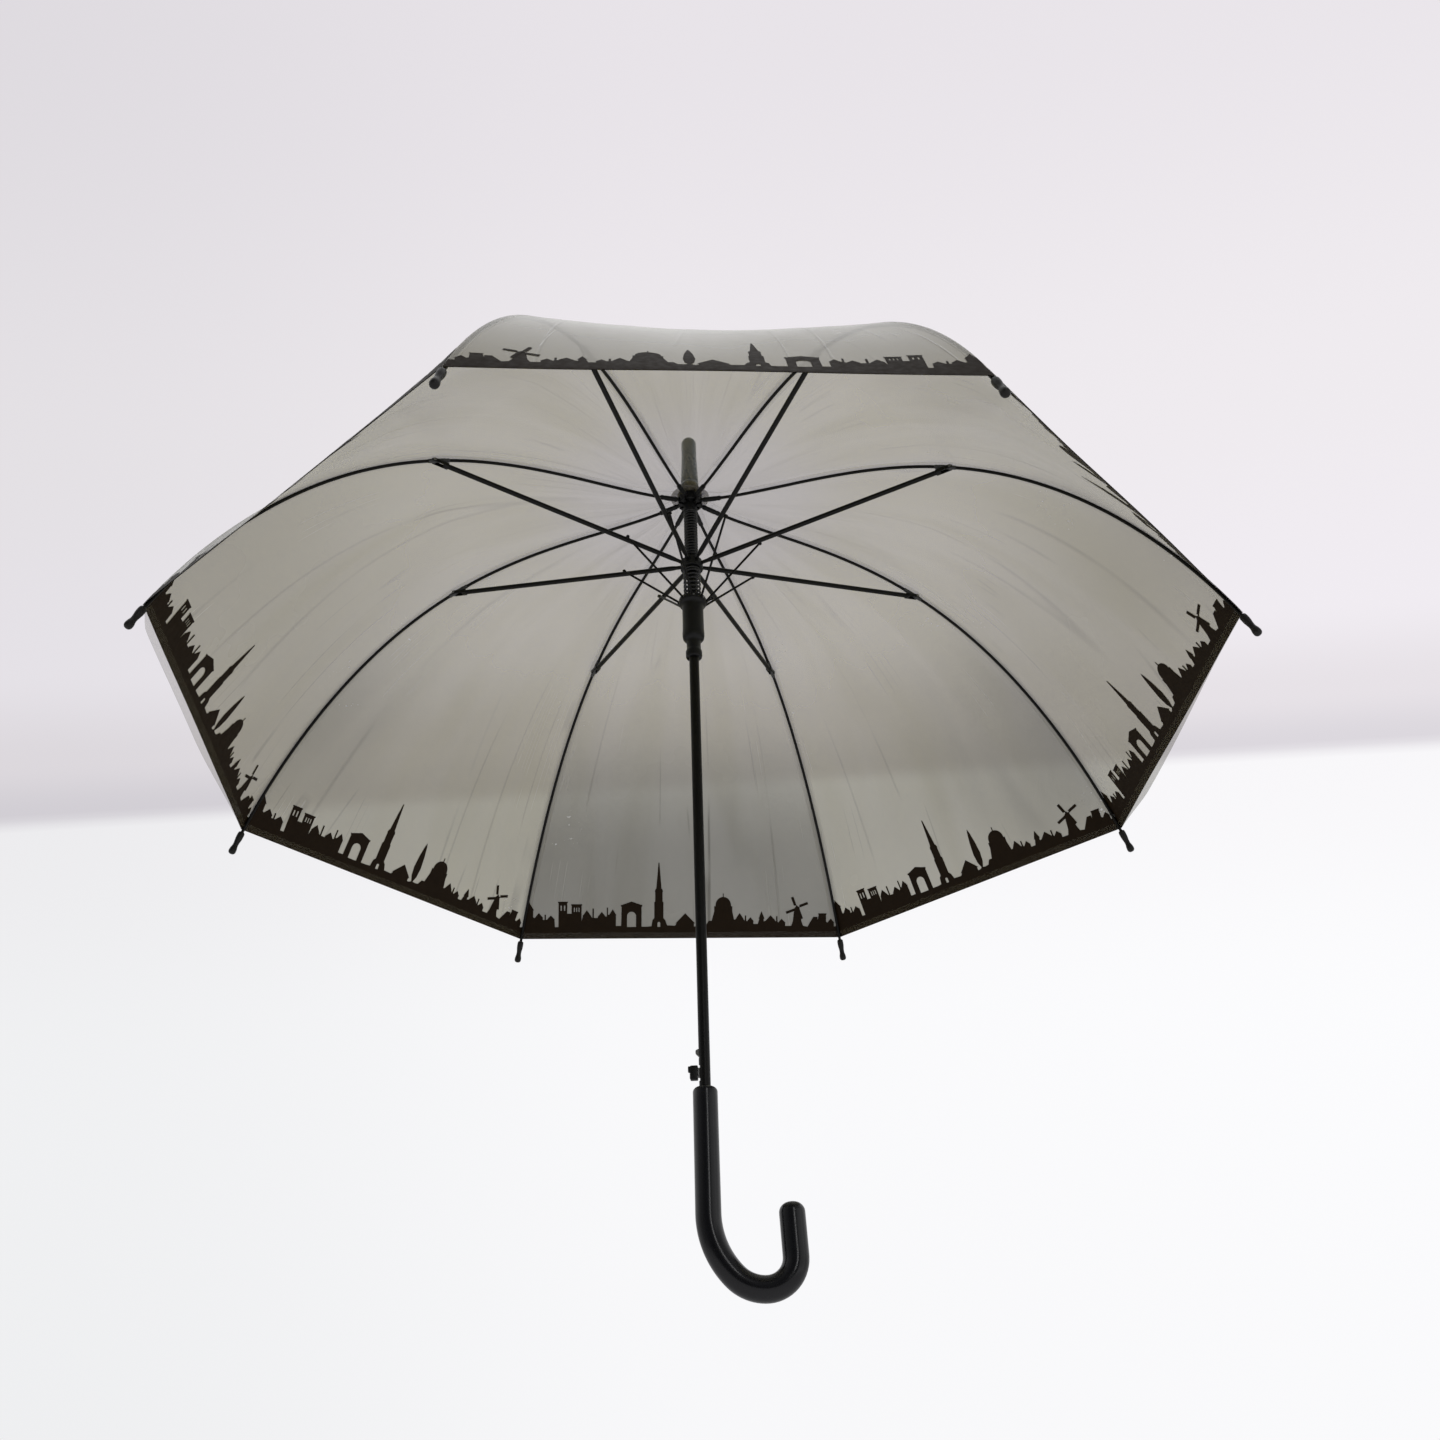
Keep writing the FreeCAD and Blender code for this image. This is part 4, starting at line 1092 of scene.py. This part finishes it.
parts = [rounded_box("b0", -11.6, -5.3, -2.35, 2.35, -603.9, -592.1, 0.9, M_PLASTIC), rounded_box("b1", -13.35, -10.4, -2.0, 2.0, -597.3, -592.6, 0.8, M_PLASTIC)]
for j in range(4):
    z = -602.3 + 1.35 * j
    parts.append(rounded_box("b2", -12.0, -11.2, -1.7, 1.7, z, z + 0.6, 0.22, M_PLASTIC, 2))
place(join("press_button", parts), "catch_and_button", "black_plastic", "release_button")

strip = [(-3.5, -608.0), (-2.75, -608.0), (-2.75, -572.0), (-3.5, -572.0), (-3.5, -577.5), (-4.2, -577.9), (-6.6, -579.2), (-7.0, -579.8), (-7.0, -581.6), (-6.7, -582.3), (-4.0, -585.0), (-3.5, -585.3)]
verts = [Vector((x, y, z + HZ)) / 1000 for y in (-1.15, 1.15) for x, z in strip]
m = len(strip)
faces = [tuple(range(m))[::-1], tuple(range(m, 2 * m))] + [(j, (j + 1) % m, m + (j + 1) % m, m + j) for j in range(m)]
blade = mesh_object("catch_blade", verts, faces, M_WIRE, smooth=False)
fix_normals(blade)
bm = bmesh.new()
bm.from_mesh(blade.data)
bmesh.ops.bevel(bm, geom=[e for e in bm.edges if e.calc_face_angle(0) > 0.3], offset=0.00012, segments=2, profile=0.5, affect="EDGES")
bm.to_mesh(blade.data)
bm.free()
parts = [blade, rounded_box("t", -5.15, -3.3, -1.45, 1.45, -602.0, -594.0, 0.3, M_WIRE, 2)]
place(join("catch_blade", parts), "catch_and_button", "wire_steel", "catch")


# ------------------------------------------------------------------ crook handle
def crook():
    pts = []
    x, z, h = 0.0, Z_HANDLE, math.radians(-90)
    for j in range(31):
        pts.append((0.0, Z_HANDLE - 98.2 * j / 30.0))
    x, z = 0.0, Z_HANDLE - 98.2
    for radius, turn in ((68.0, 43.5), (32.4, 46.5), (22.5, 92.0)):
        turn = math.radians(turn)
        cx, cz = x - radius * math.sin(h), z + radius * math.cos(h)
        m = max(8, int(radius * turn / 2.2))
        for j in range(1, m + 1):
            a = h + turn * j / m
            pts.append((cx + radius * math.sin(a), cz - radius * math.cos(a)))
        h += turn
        x, z = pts[-1]
    for j in range(1, 21):
        pts.append((x + 39.5 * math.cos(h) * j / 20.0, z + 39.5 * math.sin(h) * j / 20.0))
    return pts


line = crook()
length = [0.0]
for p, q in zip(line, line[1:]):
    length.append(length[-1] + math.hypot(q[0] - p[0], q[1] - p[1]))
total = length[-1]


def line_at(d):
    for j in range(len(line) - 1):
        if d <= length[j + 1] or j == len(line) - 2:
            t = (d - length[j]) / (length[j + 1] - length[j])
            return line[j][0] + (line[j + 1][0] - line[j][0]) * t, line[j][1] + (line[j + 1][1] - line[j][1]) * t


ds, rr = [], []
# eased top edge round the shaft
ds = [3.6 * (1 - math.cos(math.radians(90 * j / 8))) for j in range(9)]
rr = [6.3 + 3.6 * math.sin(math.radians(90 * j / 8)) for j in range(9)]
ds += [10, 40, 80]
rr += [9.9, 9.9, 9.95]
body = [98.2 + 2.4 * j for j in range(int((total - 8.2 - 98.2) / 2.4))]
ds += body + [total - 8.0]
rr += [10.0] * (len(body) + 1)
for j in range(1, 11):
    a = math.radians(90 * j / 10)
    ds.append(total - 7.6 + 7.6 * math.sin(a))
    rr.append(10.0 - 7.8 * (1 - math.cos(a)))
centres = [Vector((line_at(d)[0], 0, line_at(d)[1] + HZ)) / 1000 for d in ds]
verts, faces = [], []
segs = 48
for j, c in enumerate(centres):
    d0, d1 = max(ds[j] - 0.6, 0.0), min(ds[j] + 0.6, total)
    p, q = line_at(d0), line_at(d1)
    d = Vector((q[0] - p[0], 0, q[1] - p[1])).normalized()
    side = Vector((0, 1, 0))
    up = side.cross(d).normalized()
    for g in range(segs):
        b = 2 * math.pi * g / segs
        r = rr[j]
        verts.append(c + (side * math.cos(b) + up * math.sin(b)) * r / 1000)
for j in range(len(centres) - 1):
    for g in range(segs):
        k = (g + 1) % segs
        faces.append((j * segs + g, j * segs + k, (j + 1) * segs + k, (j + 1) * segs + g))
faces.append(tuple((len(centres) - 1) * segs + g for g in range(segs)))
# top face with the hole for the shaft, and the bore's wall
base = len(verts)
for dz in (0.0, 6.0):
    for g in range(segs):
        b = 2 * math.pi * g / segs
        verts.append(Vector((0, 0, 0)))
for n_, dz in enumerate((0.0, 6.0)):
    for g in range(segs):
        b = 2 * math.pi * g / segs
        c = centres[0] - Vector((0, 0, dz / 1000))
        side, up = Vector((0, 1, 0)), Vector((0, 1, 0)).cross(Vector((0, 0, -1)))
        verts[base + n_ * segs + g] = c + (side * math.cos(b) + up * math.sin(b)) * 4.68 / 1000
for g in range(segs):
    k = (g + 1) % segs
    faces.append((g, base + g, base + k, k))
    faces.append((base + g, base + segs + g, base + segs + k, base + k))
faces.append(tuple(base + segs + g for g in range(segs)))
handle = mesh_object("crook_handle", verts, faces, M_HANDLE, angle=42)
fix_normals(handle)
place(handle, ROOT, "handle_plastic", "handle")

# CAD pieces that stay as they are, in their own finishes
for node, mat in (("notch_wire", M_WIRE), ("nest_wire", M_WIRE), ("notch_pin", M_WIRE), ("runner_pins", M_WIRE)):
    o = NODES[node]
    for slot_ in o.material_slots:
        slot_.material = mat

# ------------------------------------------------------------------ floor, light and camera
floor = mesh_object("floor", [Vector((-14, -14, -1.75)), Vector((14, -14, -1.75)), Vector((14, 14, -1.75)), Vector((-14, 14, -1.75))], [(0, 1, 2, 3)], M_FLOOR)
floor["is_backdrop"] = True

world = bpy.data.worlds.new("studio")
bpy.context.scene.world = world
world.use_nodes = True
nt = world.node_tree
bg = nt.nodes["Background"]
tc = nt.nodes.new("ShaderNodeTexCoord")
sep = nt.nodes.new("ShaderNodeSeparateXYZ")
nt.links.new(tc.outputs["Generated"], sep.inputs[0])


def world_ramp(source, stops, lo=-1.0, hi=1.0):
    r = nt.nodes.new("ShaderNodeValToRGB")
    r.color_ramp.interpolation = "EASE"
    mr = nt.nodes.new("ShaderNodeMapRange")
    mr.inputs["From Min"].default_value = lo
    mr.inputs["From Max"].default_value = hi
    nt.links.new(source, mr.inputs["Value"])
    nt.links.new(mr.outputs["Result"], r.inputs["Fac"])
    el = r.color_ramp.elements
    (p0, c0), (p1, c1) = stops[0], stops[-1]
    el[0].position, el[0].color = (p0 - lo) / (hi - lo), (*c0, 1)
    el[1].position, el[1].color = (p1 - lo) / (hi - lo), (*c1, 1)
    for q, c in stops[1:-1]:
        e = el.new((q - lo) / (hi - lo))
        e.color = (*c, 1)
    return r.outputs["Color"]


def world_dot(v):
    n = nt.nodes.new("ShaderNodeVectorMath")
    n.operation = "DOT_PRODUCT"
    nt.links.new(tc.outputs["Generated"], n.inputs[0])
    n.inputs[1].default_value = v
    return n.outputs["Value"]


def world_mul(a, c):
    n = nt.nodes.new("ShaderNodeMix")
    n.data_type, n.blend_type = "RGBA", "MULTIPLY"
    n.inputs[0].default_value = 1.0
    nt.links.new(a, n.inputs[6])
    nt.links.new(c, n.inputs[7])
    return n.outputs[2]


# what the lens sees behind the object: white sweep below, pale lilac wall above with a painted shade just above the
# line where they meet, a little darker to the left
backdrop = world_ramp(world_dot((-0.0115, -0.5090, 0.8607)), [(-0.40, (0.955, 0.955, 0.97)), (-0.15, (0.97, 0.97, 0.985)), (-0.007, (0.945, 0.935, 0.955)), (0.004, (0.715, 0.685, 0.73)),
                                                              (0.035, (0.80, 0.762, 0.80)), (0.09, (0.875, 0.84, 0.885)), (0.22, (0.865, 0.832, 0.865)), (0.45, (0.82, 0.785, 0.825))], -0.4, 0.5)
backdrop = world_mul(backdrop, world_ramp(world_dot((1.0, 0.0, 0.0)), [(-0.45, (0.895, 0.90, 0.90)), (0.0, (0.985, 0.985, 0.985)), (0.4, (1.0, 1.0, 1.0))], -0.5, 0.5))
# what lights it: a bright ceiling, a dimmer room, darkest in front and below
room = world_ramp(sep.outputs["Z"], [(-1.0, (0.42, 0.42, 0.42)), (0.0, (0.50, 0.50, 0.50)), (0.5, (0.85, 0.85, 0.86)), (1.0, (0.95, 0.95, 0.96))])
front = world_ramp(sep.outputs["Y"], [(-1.0, (0.12, 0.12, 0.12)), (-0.45, (0.40, 0.40, 0.40)), (0.2, (1.0, 1.0, 1.0)), (1.0, (1.0, 1.0, 1.0))])
lit = world_mul(room, front)
lp = nt.nodes.new("ShaderNodeLightPath")
pick = nt.nodes.new("ShaderNodeMix")
pick.data_type = "RGBA"
nt.links.new(lp.outputs["Is Camera Ray"], pick.inputs[0])
nt.links.new(lit, pick.inputs[6])
nt.links.new(backdrop, pick.inputs[7])
nt.links.new(pick.outputs[2], bg.inputs["Color"])
bg.inputs["Strength"].default_value = 1.0


def area(name, loc, target, size, power, color=(1, 1, 1)):
    d = bpy.data.lights.new(name, "AREA")
    d.shape, d.size, d.size_y = "RECTANGLE", size[0], size[1]
    d.energy, d.color = power, color
    o = bpy.data.objects.new(name, d)
    bpy.context.scene.collection.objects.link(o)
    o.location = loc
    o.rotation_euler = (Vector(target) - Vector(loc)).to_track_quat("-Z", "Y").to_euler()
    return o


area("key", (0.78, -2.3, 0.72), (0, 0, 0.0), (0.22, 1.3), 4.6)
area("fill", (2.3, -1.3, 0.3), (0, 0, 0.3), (2.4, 1.8), 6.0)
area("top", (0.2, 0.6, 2.8), (0, 0, 0.5), (1.8, 1.8), 2.2)

scene = bpy.context.scene
scene.view_settings.view_transform = "Standard"
scene.view_settings.look = "None"
cam = bpy.data.cameras.new("camera")
cam.sensor_width = 36.0
cam.lens = 38.1
cam.clip_start, cam.clip_end = 0.05, 60
cam_ob = bpy.data.objects.new("camera", cam)
scene.collection.objects.link(cam_ob)
yaw, pitch, roll = -0.01972, 0.57442, -0.03598
fwd = Vector((math.sin(yaw) * math.cos(pitch), math.cos(yaw) * math.cos(pitch), math.sin(pitch)))
right = Vector((math.cos(yaw), -math.sin(yaw), 0))
up = right.cross(fwd)
r2 = right * math.cos(roll) + up * math.sin(roll)
u2 = up * math.cos(roll) - right * math.sin(roll)
m = Matrix((r2, u2, -fwd)).transposed().to_4x4()
m.translation = Vector((0.04545, -1.17324, -0.36715))
cam_ob.matrix_world = m
scene.camera = cam_ob

a, b = CAD_BOX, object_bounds()
